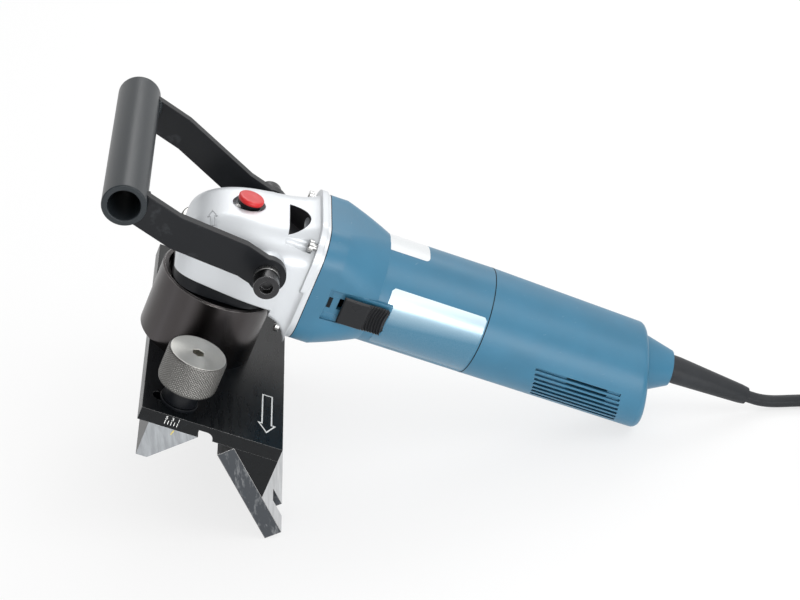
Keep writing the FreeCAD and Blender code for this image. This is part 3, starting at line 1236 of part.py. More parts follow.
def armature_windings():
    """End turns of the armature windings, varnished into two rings."""
    rings = []
    for start, length in (("core_start - 9", "9"), ("core_start + core_length", "9")):
        rings.append(turned("end_turns", [
            ("shaft_core", start), ("core_radius - 4", start), ("core_radius - 1.5", f"{start} + 3"),
            ("core_radius - 1.5", f"{start} + {length}"), ("shaft_core", f"{start} + {length}")],
            ALONG_X))
    return hand_in(group("armature_windings", rings), "armature_windings")


def commutator():
    """Copper segments on the shaft that the brushes ride on."""
    body = turned("commutator_form", [
        ("shaft_core", "comm_start"), ("comm_radius", "comm_start"),
        ("comm_radius", "comm_start + comm_length"), ("shaft_core", "comm_start + comm_length")],
        ALONG_X)
    return hand_in(body, "commutator")


def cooling_fan():
    """Moulded fan: a back disc, a hub and curved-in blades."""
    disc = turned("fan_disc", [
        ("shaft_core", "fan_start"), ("shaft_core + 5", "fan_start"),
        ("shaft_core + 5", "fan_start + fan_width - 2"), ("fan_radius", "fan_start + fan_width - 2"),
        ("fan_radius", "fan_start + fan_width"), ("shaft_core", "fan_start + fan_width")],
        ALONG_X)
    blades = []
    count = int(value("fan_blades"))
    for number in range(count):
        angle = 360 * number / count
        turn = FreeCAD.Rotation(FreeCAD.Vector(1, 0, 0), angle)
        lean = FreeCAD.Rotation(FreeCAD.Vector(1, 0, 0), 25)
        reach = "fan_radius - shaft_core - 9"
        start = turn.multVec(FreeCAD.Vector(0, value("shaft_core + 7"), 0))
        blade = block(("fan_width - 1.5", reach, "1.4"),
                      ("fan_start", f"{start.y}", f"{start.z}"), turn.multiply(lean))
        blades.append(blade)
    return hand_in(fuse("cooling_fan", disc, *blades), "cooling_fan")


def field_core():
    """Laminated field core with two poles and room for the coils."""
    pole = "(core_radius + air_gap)"
    ring = turned("field_form", [
        (pole, "core_start"), ("field_radius", "core_start"),
        ("field_radius", "core_start + core_length"), (pole, "core_start + core_length")],
        ALONG_X)
    tools = []
    for side in SIDES:
        tools.append(block(("core_length + 2", "20", "4 * core_radius"),
                           ("core_start - 1", f"{side} * (field_flat + 10) - 10",
                            "0 - 2 * core_radius")))
        tools.append(coil_solid(side, "core_start - 1", "core_length + 2", "play"))
    return hand_in(cut("field_core", ring, *tools), "field_core")


COIL_SPREAD = 33


def coil_solid(side, start, length, grow="0"):
    """A sector of a ring beside the armature, which a coil fills."""
    pole = "(core_radius + air_gap)"
    low, high = f"({pole} + 0.6 - {grow} * 3)", f"({pole} + coil_depth + {grow})"
    spread = COIL_SPREAD + value(grow) * 2
    body = turned("coil_ring", [(low, start), (high, start),
                                (high, f"{start} + {length}"), (low, f"{start} + {length}")],
                  ALONG_X)
    angle = math.radians(spread)
    reach = 60
    wedge = doc.addObject("PartDesign::Body", "coil_wedge")
    sketch = sketch_on(wedge, "YZ_Plane")
    polygon(sketch, [("0", "0"), (f"{side * reach * math.cos(angle)}", f"{-reach * math.sin(angle)}"),
                     (f"{side * reach * math.cos(angle)}", f"{reach * math.sin(angle)}")])
    pad(wedge, sketch, "4 * rear_seam", both_ways=True)
    common = doc.addObject("Part::Common", "coil")
    common.Base = body
    common.Tool = wedge
    return common


def field_coils():
    """Two copper coils in the field core."""
    coils = [coil_solid(side, "core_start - coil_overhang", "core_length + 2 * coil_overhang")
             for side in SIDES]
    return hand_in(group("field_coils", coils), "field_coils")


def air_baffle():
    """Ring that guides the fan's air, in the step behind the fan chamber."""
    body = turned("air_baffle", [
        ("core_radius + 6", "fan_start + fan_width + 0.5"),
        ("fan_chamber", "fan_start + fan_width + 0.5"), ("fan_chamber", "head_seam + 19"),
        ("core_radius + 6", "head_seam + 19")], ALONG_X)
    return hand_in(body, "air_baffle")


def bearing_retainer():
    """Ring that keeps the front bearing in the gear head."""
    body = turned("bearing_retainer", [
        ("shaft_radius + 3", "head_seam - 3"), ("front_bearing_radius + 6", "head_seam - 3"),
        ("front_bearing_radius + 6", "head_seam - 0.6"), ("shaft_radius + 3", "head_seam - 0.6")],
        ALONG_X)
    return hand_in(body, "bearing_retainer")


def brushes():
    """Carbon brushes and their brass holders, above and below the commutator."""
    start = "comm_start + (comm_length - brush_length) / 2"
    carbons, holders = [], []
    for side in SIDES:
        low = "(comm_radius + running)"
        carbon_z = low if side > 0 else f"0 - {low} - 14"
        carbons.append(block(("brush_length", "brush_width", "14"),
                             (start, "0 - brush_width / 2", carbon_z)))
        holder_z = "(comm_radius + 2)" if side > 0 else "0 - comm_radius - 2 - 16"
        outer = block(("brush_length + 4", "brush_width + 4", "16"),
                      (f"{start} - 2", "0 - brush_width / 2 - 2", holder_z))
        inner = block(("brush_length + 2 * running", "brush_width + 2 * running", "20"),
                      (f"{start} - running", "0 - brush_width / 2 - running",
                       holder_z + " - 2"))
        holders.append(cut("brush_holder", outer, inner))
    hand_in(group("carbon_brushes", carbons), "carbon_brushes")
    hand_in(group("brush_holders", holders), "brush_holders")


# ---------------------------------------------------------------- switch
def switch_slider():
    """Slider on the side of the motor housing, with its key through the wall."""
    face = "slider_face"
    plate = block(("slider_length", "slider_thick", "slider_height"),
                  ("slider_start", f"0 - {face} - slider_thick", "slider_top - slider_height"))
    key = block(("12", f"{face} + 1 - field_flat - 2.1", "6"),
                ("slider_start + 7", f"0 - {face} - 1", "0 - 3"))
    return hand_in(fuse("switch_slider", plate, key), "switch_slider")


def switch_rod():
    """Flat rod between the slider and the switch in the rear cover."""
    bar = block(("rear_seam + 30 - slider_start", "1.6", "5"),
                ("slider_start + 8", "0 - field_flat - 2.1", "0 - 2.5"))
    return hand_in(group("switch_rod", [bar]), "switch_rod")


def switch_module():
    """Switch block in the rear cover, held between ribs."""
    saddles = [block(("3", "28", "44"), (f"rear_seam + 38.6 + {step}", "0 - 31", "0 - 32"))
               for step in (3, 18)]
    seated = doc.addObject("Part::Common", "saddles_in_cover")
    seated.Base = cover_cone("barrel_wall + play")
    seated.Tool = group("saddles", saddles)
    hand_in(cut("switch_saddles", seated, block(*SWITCH_BOX)), "switch_saddles")
    body = block(*SWITCH_BOX)
    return hand_in(group("switch_module", [body]), "switch_module")


# ---------------------------------------------------------------- spindle lock
def lock_button():
    """Button on top of the gear head; pressed, its stem stops just above the spindle's slot."""
    stem_foot = "(spindle_top + button_travel + play)"
    body = turned("button_form", [
        ("0", stem_foot), ("button_stem", stem_foot), ("button_stem", "button_top - button_thick"),
        ("button_radius", "button_top - button_thick"), ("button_radius", "button_top - 1.5"),
        ("button_radius - 1.5", "button_top"), ("0", "button_top")])
    return hand_in(body, "lock_button")


def lock_spring():
    """Flat wave spring under the lock button, drawn at its pressed height."""
    ring = turned("lock_spring", [
        ("button_stem + play", "head_top - 7"), ("button_radius - 0.7", "head_top - 7"),
        ("button_radius - 0.7", "head_top - 6"), ("button_stem + play", "head_top - 6")])
    return hand_in(ring, "lock_spring")


# ---------------------------------------------------------------- cord
# Route of the free cord as it lies on the bench, in the frame of the standing tool. It
# leaves the strain relief, levels out on the bench and runs into a coil beside the tool.
LEAD_ROUTE = [
    (216.62, 0, 10.67), (222.27, 0, 7.67), (228.81, 0, 5.47), (236.31, 0, 4.24),
    (250.29, -0.73, 4.1), (276.1, -3.9, 4.1), (305.55, -9.62, 4.1), (330.65, -16.35, 4.1),
]
COIL_CENTRE = (315.9, -71.4)
COIL_TURNS = (33, 41, 49, 57)
COIL_LAYERS = (4.05, 12.05)
TAIL_ROUTE = [
    (330.65, -16.35, 12.05), (350.55, -30.0, 14.0), (360.25, -50.7, 18.0), (359.95, -71.4, 20.15),
    (353.45, -91.4, 20.15), (340.95, -107.4, 20.6), (324.95, -115.4, 22.2), (309.95, -117.4, 23.3),
]
PLUG_HALF_HEIGHT = 7.1


def cord_tube(points):
    """Straight runs joined by tangent arcs, each as large as its two runs allow."""
    stops = [FreeCAD.Vector(*point) for point in points]
    edges = []
    start = stops[0]
    for before, corner, after in zip(stops, stops[1:], stops[2:]):
        inward, outward = (corner - before), (after - corner)
        reach = 0.45 * min(inward.Length, outward.Length)
        turn = inward.getAngle(outward)
        print("cord radius", round(reach / math.tan(turn / 2), 1))
        inward.normalize()
        outward.normalize()
        arc_start, arc_end = corner - inward * reach, corner + outward * reach
        radius = reach / math.tan(turn / 2)
        middle = (arc_start + arc_end) * 0.5 - corner
        sagitta = radius / math.cos(turn / 2) - radius
        middle.normalize()
        edges.append(Part.LineSegment(start, arc_start).toShape())
        edges.append(Part.Arc(arc_start, corner + middle * sagitta, arc_end).toShape())
        start = arc_end
    edges.append(Part.LineSegment(start, stops[-1]).toShape())
    path = Part.Wire(edges)
    heading = stops[1] - stops[0]
    section = Part.Wire([Part.makeCircle(value("cord_radius"), stops[0], heading)])
    tube = path.makePipeShell([section], True, False)
    expected = path.Length * math.pi * value("cord_radius") ** 2
    print("cord length", round(path.Length, 1), "volume ratio", round(tube.Volume / expected, 3))
    return tube


def cord():
    """The power cord: its lead, its coil, its tail and the mains plug on the coil."""
    lay_by(made_by_code("cord_lead", cord_tube(LEAD_ROUTE)), "cord_lead")
    lay_by(made_by_code("cord_tail", cord_tube(TAIL_ROUTE)), "cord_tail")
    foot, head = COIL_LAYERS[0] - 4, COIL_LAYERS[-1] + 4
    coil = turned("cord_coil", [
        (f"{COIL_TURNS[0]} - cord_radius", f"{foot}"), (f"{COIL_TURNS[-1]} + cord_radius", f"{foot}"),
        (f"{COIL_TURNS[-1]} + cord_radius", f"{head}"), (f"{COIL_TURNS[0]} - cord_radius", f"{head}")],
        ALONG_Z, (f"{COIL_CENTRE[0]}", f"{COIL_CENTRE[1]}", "0"))
    lay_by(coil, "cord_coil")


def plug():
    """Generic two-pin mains plug at the end of the cord."""
    body = doc.addObject("PartDesign::Body", "plug_body")
    sketch = sketch_on(body, "XY_Plane", "14")
    rounded_box(sketch, "17.5", f"0 - {PLUG_HALF_HEIGHT}", f"{PLUG_HALF_HEIGHT}", "6.5", "6.5")
    pad(body, sketch, "26")
    nose = taper("cord_radius + 1.5", "6.6", "14.1", ("0", "0", "0"))
    pins = [rod("2.4", "20", (f"{side} * 9.5", "0", "39")) for side in SIDES]
    whole = fuse("plug", body, nose, *pins)
    last, end = (FreeCAD.Vector(*point) for point in TAIL_ROUTE[-2:])
    heading = end - last
    flat = FreeCAD.Vector(heading.x, heading.y, 0).normalize()
    across = FreeCAD.Vector(0, 0, 1).cross(flat)
    turn = FreeCAD.Rotation(across, FreeCAD.Vector(0, 0, 1), flat, "ZYX")
    whole.Placement = FreeCAD.Placement(end, turn)
    return lay_by(whole, "plug")


def strain_relief():
    """Rubber sleeve where the cord leaves the rear cover."""
    turn = ALONG_X.multiply(FreeCAD.Rotation(FreeCAD.Vector(0, 1, 0), value("relief_droop")))
    body = turned("strain_relief", [
        ("cord_radius", "0 - relief_seat"), ("relief_radius - 1", "0 - relief_seat"),
        ("relief_radius - 1", "2"),
        ("relief_tip + 0.6", "relief_length - 4"), ("relief_tip", "relief_length"),
        ("cord_radius", "relief_length")], turn, ("outlet_x", "0", "outlet_z"))
    return hand_in(body, "strain_relief")


def build():
    """Make every sub-part of the tool."""
    gear_head()
    bearing_flange()
    bearing_flange_screws()
    flange_screws()
    motor_housing()
    rear_cover()
    clamp_collar()
    collar_screws()
    base_plate()
    plate_screws()
    fixed_guide_block()
    block_screws()
    guide_bar()
    bar_screws()
    sliding_guide_block()
    clamp_knob(-1, "clamp_knob_near")
    clamp_knob(1, "clamp_knob_far")
    clamp_washers()
    clamp_studs()
    handle_tube()
    handle_arm(-1, "handle_arm_near")
    handle_arm(1, "handle_arm_far")
    handle_bushes()
    handle_screws()
    pinion()
    crown_gear()
    spindle()
    ring_bearing("main_bearing", "spindle_radius", "main_bearing_radius", "main_bearing_width",
                 ("0", "0", "0 - head_foot - 1 - main_bearing_width"))
    ring_bearing("needle_bearing", "journal_radius + running", "needle_radius", "8",
                 ("0", "0", "7"))
    ring_bearing("front_bearing", "shaft_radius + running", "front_bearing_radius",
                 "front_bearing_width", ("head_seam - front_bearing_width - 3", "0", "0"), ALONG_X)
    ring_bearing("rear_bearing", "shaft_tail + running", "rear_bearing_radius",
                 "rear_bearing_width",
                 ("comm_start + comm_length + 10 - rear_bearing_width", "0", "0"), ALONG_X)
    cutter_head()
    cutter_inserts()
    insert_screws()
    armature_shaft()
    armature_core()
    armature_windings()
    commutator()
    cooling_fan()
    field_core()
    field_coils()
    air_baffle()
    bearing_retainer()
    brushes()
    switch_slider()
    switch_rod()
    switch_module()
    lock_button()
    lock_spring()
    strain_relief()
    cord()
    plug()


def check_and_export():
    """Stop on any failed object or bad shape, then write one file per sub-part."""
    doc.recompute()
    for thing in doc.Objects:
        if "Invalid" in thing.State or "Error" in thing.State:
            raise RuntimeError(f"{thing.Name} {thing.Label} failed: {thing.State}")
    for thing in PARTS:
        if thing.Shape.isNull() or not thing.Shape.isValid() or not thing.Shape.Solids:
            raise RuntimeError(f"{thing.Label} has no valid shape")
    os.makedirs("parts", exist_ok=True)
    for thing in PARTS:
        thing.Shape.exportStep(f"parts/{thing.Label}.step")
        print(thing.Label, len(thing.Shape.Solids), round(thing.Shape.Volume / 1000, 2), "cm3")


build()
check_and_export()
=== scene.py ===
"""Looks of the plate edge beveller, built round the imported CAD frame.

Sections follow the tool as it is put together, from the shafts to the cord. Most pieces
are finished copies of the CAD nodes: welded, smoothed and with rounded edges. Knobs,
slider, lock button, films, printed marks, welds and cord are modelled here. Places are
millimetres in the tool's own frame: origin on the spindle axis at the motor axis, +X
along the motor, +Z up along the spindle.
"""

import json
import math

import bmesh
import bpy
import numpy as np
from mathutils import Matrix, Vector


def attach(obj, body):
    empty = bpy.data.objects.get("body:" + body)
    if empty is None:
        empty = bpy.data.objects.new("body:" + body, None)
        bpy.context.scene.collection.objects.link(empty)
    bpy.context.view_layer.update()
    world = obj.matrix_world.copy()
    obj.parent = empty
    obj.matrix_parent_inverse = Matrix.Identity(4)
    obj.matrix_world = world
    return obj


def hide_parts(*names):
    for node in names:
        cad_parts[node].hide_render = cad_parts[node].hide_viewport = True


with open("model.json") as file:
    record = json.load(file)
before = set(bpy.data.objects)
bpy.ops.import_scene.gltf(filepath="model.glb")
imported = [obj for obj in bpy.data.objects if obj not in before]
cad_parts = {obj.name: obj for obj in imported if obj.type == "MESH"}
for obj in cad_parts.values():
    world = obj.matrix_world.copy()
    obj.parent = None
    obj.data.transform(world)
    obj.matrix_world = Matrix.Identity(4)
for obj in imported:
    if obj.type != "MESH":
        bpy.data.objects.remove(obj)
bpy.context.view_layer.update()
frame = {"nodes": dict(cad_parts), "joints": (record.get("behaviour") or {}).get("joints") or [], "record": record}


# ---------------------------------------------------------------- shafts, gears, cutter head
# Turned and ground steel on the two shafts: armature shaft with its pinion, spindle with its
# crown gear and cutter head. The shaft axes also give the place of the tool's own frame.
MM = 0.001
SPINDLE_POINT = -40.0
BODY_OF = {name: body for body, names in frame["record"]["behaviour"]["bodies"].items()
           for name in names}
JOINTS = {joint["name"]: joint for joint in frame["joints"]}


def tool_matrix():
    """The tool frame's place in the row, read from the two crossing shaft axes."""
    motor_axis = Vector(JOINTS["armature_spin"]["axis"]).normalized()
    spindle_axis = Vector(JOINTS["spindle_spin"]["axis"]).normalized()
    origin = Vector(JOINTS["spindle_spin"]["pos_m"]) - spindle_axis * SPINDLE_POINT * MM
    across = spindle_axis.cross(motor_axis)
    turn = Matrix((motor_axis, across, spindle_axis)).transposed().to_4x4()
    return Matrix.Translation(origin) @ turn @ Matrix.Scale(MM, 4)


TOOL = tool_matrix()
TOOL_ARRAY = np.array(TOOL)


def in_row(points):
    """Points of the tool frame as points of the row: turned, scaled and shifted."""
    points = np.asarray(points, float)
    return points @ TOOL_ARRAY[:3, :3].T + TOOL_ARRAY[:3, 3]


def shader_node(tree, kind, **settings):
    """A shader node with its inputs or properties set by name."""
    made = tree.nodes.new(kind)
    for name, setting in settings.items():
        label = name.replace("_", " ")
        if label in made.inputs:
            made.inputs[label].default_value = setting
        else:
            setattr(made, name, setting)
    return made


def finish_base(name):
    """An empty node material with its shader and Object coordinates."""
    made = bpy.data.materials.new(name)
    made.use_nodes = True
    tree = made.node_tree
    place = tree.nodes.new("ShaderNodeTexCoord")
    return made, tree, tree.nodes["Principled BSDF"], place.outputs["Object"]


def ramp(tree, factor, stops):
    """A colour ramp over a factor: stops are (position, grey or colour)."""
    made = tree.nodes.new("ShaderNodeValToRGB")
    tree.links.new(factor, made.inputs["Fac"])
    elements = made.color_ramp.elements
    while len(elements) < len(stops):
        elements.new(0.5)
    for element, (position, colour) in zip(elements, stops):
        element.position = position
        shade = (colour,) * 3 if isinstance(colour, (int, float)) else colour
        element.color = (*shade[:3], 1)
    return made.outputs["Color"]


def noise(tree, place, scale, detail=4.0, stretch=(1, 1, 1), tilt=0.0):
    """Noise over Object coordinates, stretched to make streaks that lie along the tool."""
    mapping = tree.nodes.new("ShaderNodeMapping")
    mapping.inputs["Scale"].default_value = stretch
    mapping.inputs["Rotation"].default_value = (0, tilt, 0)
    tree.links.new(place, mapping.inputs["Vector"])
    made = shader_node(tree, "ShaderNodeTexNoise", Scale=scale, Detail=detail, Roughness=0.55)
    tree.links.new(mapping.outputs["Vector"], made.inputs["Vector"])
    return made.outputs["Fac"]


def feed(tree, sockets, things):
    """Each thing goes into its socket: linked where it is a socket itself, set otherwise."""
    for socket, thing in zip(sockets, things):
        if isinstance(thing, bpy.types.NodeSocket):
            tree.links.new(thing, socket)
        elif socket.type == "RGBA":
            socket.default_value = (*thing[:3], 1)
        else:
            socket.default_value = thing


def mix(tree, factor, first, second):
    """Mix two colours by a factor socket or number."""
    made = tree.nodes.new("ShaderNodeMix")
    made.data_type = "RGBA"
    feed(tree, (made.inputs["Factor"], made.inputs[6], made.inputs[7]),
         (factor, first, second))
    return made.outputs[2]


def sum_up(tree, operation, first, second=0.0):
    """One step of arithmetic on sockets or numbers."""
    made = shader_node(tree, "ShaderNodeMath", operation=operation)
    feed(tree, made.inputs, (first, second))
    return made.outputs[0]


def vector_step(tree, operation, *vectors):
    """One step of vector arithmetic on sockets or triples."""
    made = shader_node(tree, "ShaderNodeVectorMath", operation=operation)
    feed(tree, made.inputs, vectors)
    number = operation in ("DOT_PRODUCT", "LENGTH")
    return made.outputs["Value" if number else "Vector"]


def worn_and_lit_edges(tree, radius, place, low=0.02, high=0.12):
    """White where the rounded normal leaves the true one: along edges, broken by noise. It stands for edge wear
    and for painted highlight along edges.
    """
    rounded = shader_node(tree, "ShaderNodeBevel", samples=4, Radius=radius * MM)
    flat = tree.nodes.new("ShaderNodeNewGeometry")
    agreement = vector_step(tree, "DOT_PRODUCT", rounded.outputs["Normal"],
                            flat.outputs["True Normal"])
    edge = sum_up(tree, "SUBTRACT", 1.0, agreement)
    patches = noise(tree, place, 220, 6)
    broken = sum_up(tree, "MULTIPLY", edge, sum_up(tree, "MULTIPLY", patches, 2.0))
    return ramp(tree, broken, [(low, 0.0), (high, 1.0)])


def relief(tree, shader, heights, rounding=0.0):
    """Bump from a list of (height socket, depth in mm), over edges rounded in shading."""
    normal = None
    if rounding:
        normal = shader_node(tree, "ShaderNodeBevel", samples=6,
                             Radius=rounding * MM).outputs["Normal"]
    for height, depth in heights:
        bump = shader_node(tree, "ShaderNodeBump", Strength=1.0, Distance=depth * MM)
        tree.links.new(height, bump.inputs["Height"])
        if normal:
            tree.links.new(normal, bump.inputs["Normal"])
        normal = bump.outputs["Normal"]
    if normal:
        tree.links.new(normal, shader.inputs["Normal"])


def machined_metal(name, colour, rough, streak, stretch, depth=0.01, edge_wear_and_highlight=0.0,
                   edge_wear_and_highlight_colour=(0.6, 0.6, 0.6), rounding=0.3, stain=0.2, tilt=0.0):
    """Bare or blackened metal with tool marks, stains and edges made bright: partly wear, partly painted
    highlight.
    """
    made, tree, shader, place = finish_base(name)
    marks = noise(tree, place, streak, 5, stretch, tilt)
    blotch = noise(tree, place, 40, 5)
    tone = mix(tree, ramp(tree, blotch, [(0.35, 0.0), (0.72, 1.0)]),
               [c * (1 - stain) for c in colour], [min(c * (1 + stain), 1) for c in colour])
    tone = mix(tree, ramp(tree, marks, [(0.45, 0.0), (0.75, 0.35)]), tone,
               [c * 0.7 for c in colour])
    # Edges mixed towards a pale colour: partly wear, partly painted highlight.
    if edge_wear_and_highlight:
        edges = sum_up(tree, "MULTIPLY", worn_and_lit_edges(tree, 0.45, place), edge_wear_and_highlight)
        tone = mix(tree, edges, tone, edge_wear_and_highlight_colour)
    tree.links.new(tone, shader.inputs["Base Color"])
    shader.inputs["Metallic"].default_value = 1.0
    tree.links.new(ramp(tree, marks, [(0.3, rough - 0.06), (0.7, rough + 0.08)]),
                   shader.inputs["Roughness"])
    relief(tree, shader, [(marks, depth)], rounding)
    return made


def sharpen(mesh, degrees):
    """Smooth shading, broken where faces meet at more than an angle."""
    work = bmesh.new()
    work.from_mesh(mesh)
    for face in work.faces:
        face.smooth = True
    limit = math.radians(degrees)
    for edge in work.edges:
        edge.smooth = len(edge.link_faces) == 2 and edge.calc_face_angle(0) < limit
    work.to_mesh(mesh)
    work.free()


def placed(name, data):
    """A new object, put in the scene."""
    made = bpy.data.objects.new(name, data)
    bpy.context.scene.collection.objects.link(made)
    return made


def ridden(name, mesh, body, finish, replaces=()):
    """A finished piece that rides on a body and may stand for CAD nodes."""
    made = placed(name, mesh)
    mesh.materials.clear()
    mesh.materials.append(finish)
    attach(made, body)
    if replaces:
        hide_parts(*replaces)
    return made


def round_edges(thing, width, degrees=38, segments=2):
    """Bevel modifier on edges sharper than an angle."""
    bevel = thing.modifiers.new("edges", "BEVEL")
    bevel.width = width * MM
    bevel.segments = segments
    bevel.limit_method = "ANGLE"
    bevel.angle_limit = math.radians(degrees)
    bevel.harden_normals = True


def polished(name, finish, width=0.0, degrees=32):
    """A CAD node welded into one smooth mesh, with flat faces made whole again."""
    mesh = frame["nodes"][name].data.copy()
    work = bmesh.new()
    work.from_mesh(mesh)
    bmesh.ops.remove_doubles(work, verts=work.verts, dist=0.004 * MM)
    bmesh.ops.dissolve_limit(work, angle_limit=math.radians(0.4), verts=work.verts,
                             edges=work.edges)
    work.to_mesh(mesh)
    work.free()
    sharpen(mesh, degrees)
    thing = ridden("finished_" + name, mesh, BODY_OF[name], finish, (name,))
    if width:
        round_edges(thing, width)


core_steel = machined_metal("core steel", (0.32, 0.32, 0.33), 0.33, 600, (6, 1, 1))
for shaft_piece in ("armature_core", "armature_shaft", "bearing_retainer", "crown_gear",
                    "cutter_head", "field_core", "pinion", "spindle"):
    polished(shaft_piece, core_steel)


# ---------------------------------------------------------------- cutter inserts
# Ground carbide plates screwed to the cutter head under the base plate, with black
# countersunk screws.
carbide = machined_metal("carbide", (0.38, 0.38, 0.39), 0.28, 900, (1, 1, 1))
polished("cutter_inserts", carbide)


# ---------------------------------------------------------------- windings and brushes
# Enamelled copper wire on the armature and the field, the copper commutator, brass
# holders and two carbon brushes.
copper = machined_metal("copper", (0.75, 0.36, 0.2), 0.35, 500, (1, 1, 1))
for winding in ("armature_windings", "commutator", "field_coils"):
    polished(winding, copper)
brass = machined_metal("brass", (0.72, 0.52, 0.24), 0.3, 500, (1, 1, 1))
polished("brush_holders", brass)


def dusty(name, colour, rough=0.5, shine=0.3):
    """An even black surface with a little pale dust: rubber, carbon or soft plastic."""
    made, tree, shader, place = finish_base(name)
    dust = ramp(tree, noise(tree, place, 70, 5), [(0.45, 0.0), (0.8, 0.4)])
    tree.links.new(mix(tree, dust, colour, [c * 2.2 for c in colour]),
                   shader.inputs["Base Color"])
    shader.inputs["Roughness"].default_value = rough
    shader.inputs["Specular IOR Level"].default_value = shine
    relief(tree, shader, [(noise(tree, place, 1800, 3), 0.03)], 0.4)
    return made


carbon = dusty("carbon", (0.03, 0.03, 0.03), 0.6)
polished("carbon_brushes", carbon)


# ---------------------------------------------------------------- bearings, bright screws
# Ball and needle bearings pressed into the castings, zinc-plated flange screws, the bushes
# that carry the handle arms, and the spring under the lock button.
bright_steel = machined_metal("bright steel", (0.58, 0.58, 0.57), 0.28, 500, (1, 1, 4))
for bright_piece in ("flange_screws", "front_bearing", "lock_spring", "main_bearing",
                     "needle_bearing", "rear_bearing"):
    polished(bright_piece, bright_steel)
polished("handle_bushes", bright_steel, 0.4)


# ---------------------------------------------------------------- motor housing, rear cover
# Injection-moulded glass-filled nylon in petrol blue. The housing is screwed to the gear
# head, the rear cover closes it at the back, and thin dark bands of painted shade stand in
# the gaps at both seams.
BARREL_RADIUS = 35.0
REAR_SEAM = 163.0
SEAM_POINTS = 192
BLUE = (0.034, 0.158, 0.262)


def moulded_plastic(name, colour, rough=0.4, grain=0.02, rounding=0.5, scuff_and_edge_highlight=0.25,
                    shine=0.5):
    """Injection-moulded plastic: fine spark-eroded grain, faint clouds, light scuffs, and pale edges that are
    partly wear and partly painted highlight.
    """
    made, tree, shader, place = finish_base(name)
    clouds = noise(tree, place, 35, 3)
    scratches = noise(tree, place, 160, 8, (1, 1, 7))
    tone = mix(tree, ramp(tree, clouds, [(0.35, 0.0), (0.7, 1.0)]),
               [c * 0.94 for c in colour], [min(c * 1.06, 1) for c in colour])
    pale = [c + (1 - c) * 0.3 for c in colour]
    marks = ramp(tree, scratches, [(0.68, 0.0), (0.76, scuff_and_edge_highlight)])
    # Pale edges: partly wear, partly painted highlight.
    edges = sum_up(tree, "MULTIPLY", worn_and_lit_edges(tree, 0.6, place, 0.05, 0.3), scuff_and_edge_highlight)
    both = sum_up(tree, "MAXIMUM", marks, edges)
    tree.links.new(mix(tree, both, tone, pale), shader.inputs["Base Color"])
    tree.links.new(ramp(tree, clouds, [(0.2, rough - 0.05), (0.8, rough + 0.07)]),
                   shader.inputs["Roughness"])
    shader.inputs["Specular IOR Level"].default_value = shine
    relief(tree, shader, [(noise(tree, place, 2600, 2), grain)], rounding)
    return made


def grid_mesh(name, rings, closed=True, ends=True, degrees=40):
    """A mesh through rings of points of the tool frame: four-cornered faces between
    neighbours on the grid, and flat caps on the first and last ring."""
    rings = np.asarray(rings, float)
    count, around = rings.shape[:2]
    index = np.arange(count * around).reshape(count, around)
    beside = np.roll(index, -1, axis=1)
    if not closed:
        index, beside = index[:, :-1], beside[:, :-1]
    faces = np.stack([index[:-1], beside[:-1], beside[1:], index[1:]], -1).reshape(-1, 4).tolist()
    if closed and ends:
        faces.append(np.arange(around)[::-1].tolist())
        faces.append((np.arange(around) + (count - 1) * around).tolist())
    mesh = bpy.data.meshes.new(name)
    mesh.from_pydata(in_row(rings.reshape(-1, 3)).tolist(), [], faces)
    mesh.update()
    work = bmesh.new()
    work.from_mesh(mesh)
    bmesh.ops.remove_doubles(work, verts=work.verts, dist=0.001 * MM)
    bmesh.ops.recalc_face_normals(work, faces=work.faces)
    work.to_mesh(mesh)
    work.free()
    sharpen(mesh, degrees)
    return mesh


def shadow_gap(name, x, half_width, half_height, corner, width=0.6, lift=0.04):
    """A dark line of painted shade round a seam. Its outline is a rounded rectangle: the corner
    circle's point in each direction, moved out by the corner's centre."""
    turn = np.linspace(0, 2 * math.pi, SEAM_POINTS, endpoint=False) + 0.001
    across = np.sign(np.cos(turn)) * (half_width - corner) + (corner + lift) * np.cos(turn)
    upward = np.sign(np.sin(turn)) * (half_height - corner) + (corner + lift) * np.sin(turn)
    rings = [np.stack([np.full(SEAM_POINTS, x + step * width), across * share,
                       upward * share], 1)
             for step, share in ((-0.5, 1), (0.5, 1), (0.5, 0.985), (-0.5, 0.985), (-0.5, 1))]
    mesh = grid_mesh(name, rings, ends=False)
    ridden(name, mesh, "housing", painted_gap_shade)


blue_plastic = moulded_plastic("blue plastic", BLUE)
for moulding in ("motor_housing", "rear_cover", "switch_saddles"):
    polished(moulding, blue_plastic)
# Near-black sheet for the seams and the cleat slot: painted shade.
painted_gap_shade = dusty("dark gap", (0.004, 0.006, 0.008), 0.8)
shadow_gap("head_gap", 50.0, 39.0, 40.0, 20.0, 0.5)
shadow_gap("cover_gap", REAR_SEAM, BARREL_RADIUS, BARREL_RADIUS, BARREL_RADIUS - 0.1)


# ---------------------------------------------------------------- labels on the barrel
# Two films stuck round the barrel: a satin nameplate, left bare, that meets the rear seam and
# fades from silvery at the top to blue below as a painted reflection of light from above, and
# a plain white sticker over the top.
def thicken(thing, thickness, offset=0):
    """Solidify modifier that turns a sheet into a plate of a thickness."""
    sheet = thing.modifiers.new("thick", "SOLIDIFY")
    sheet.thickness = thickness * MM
    sheet.offset = offset


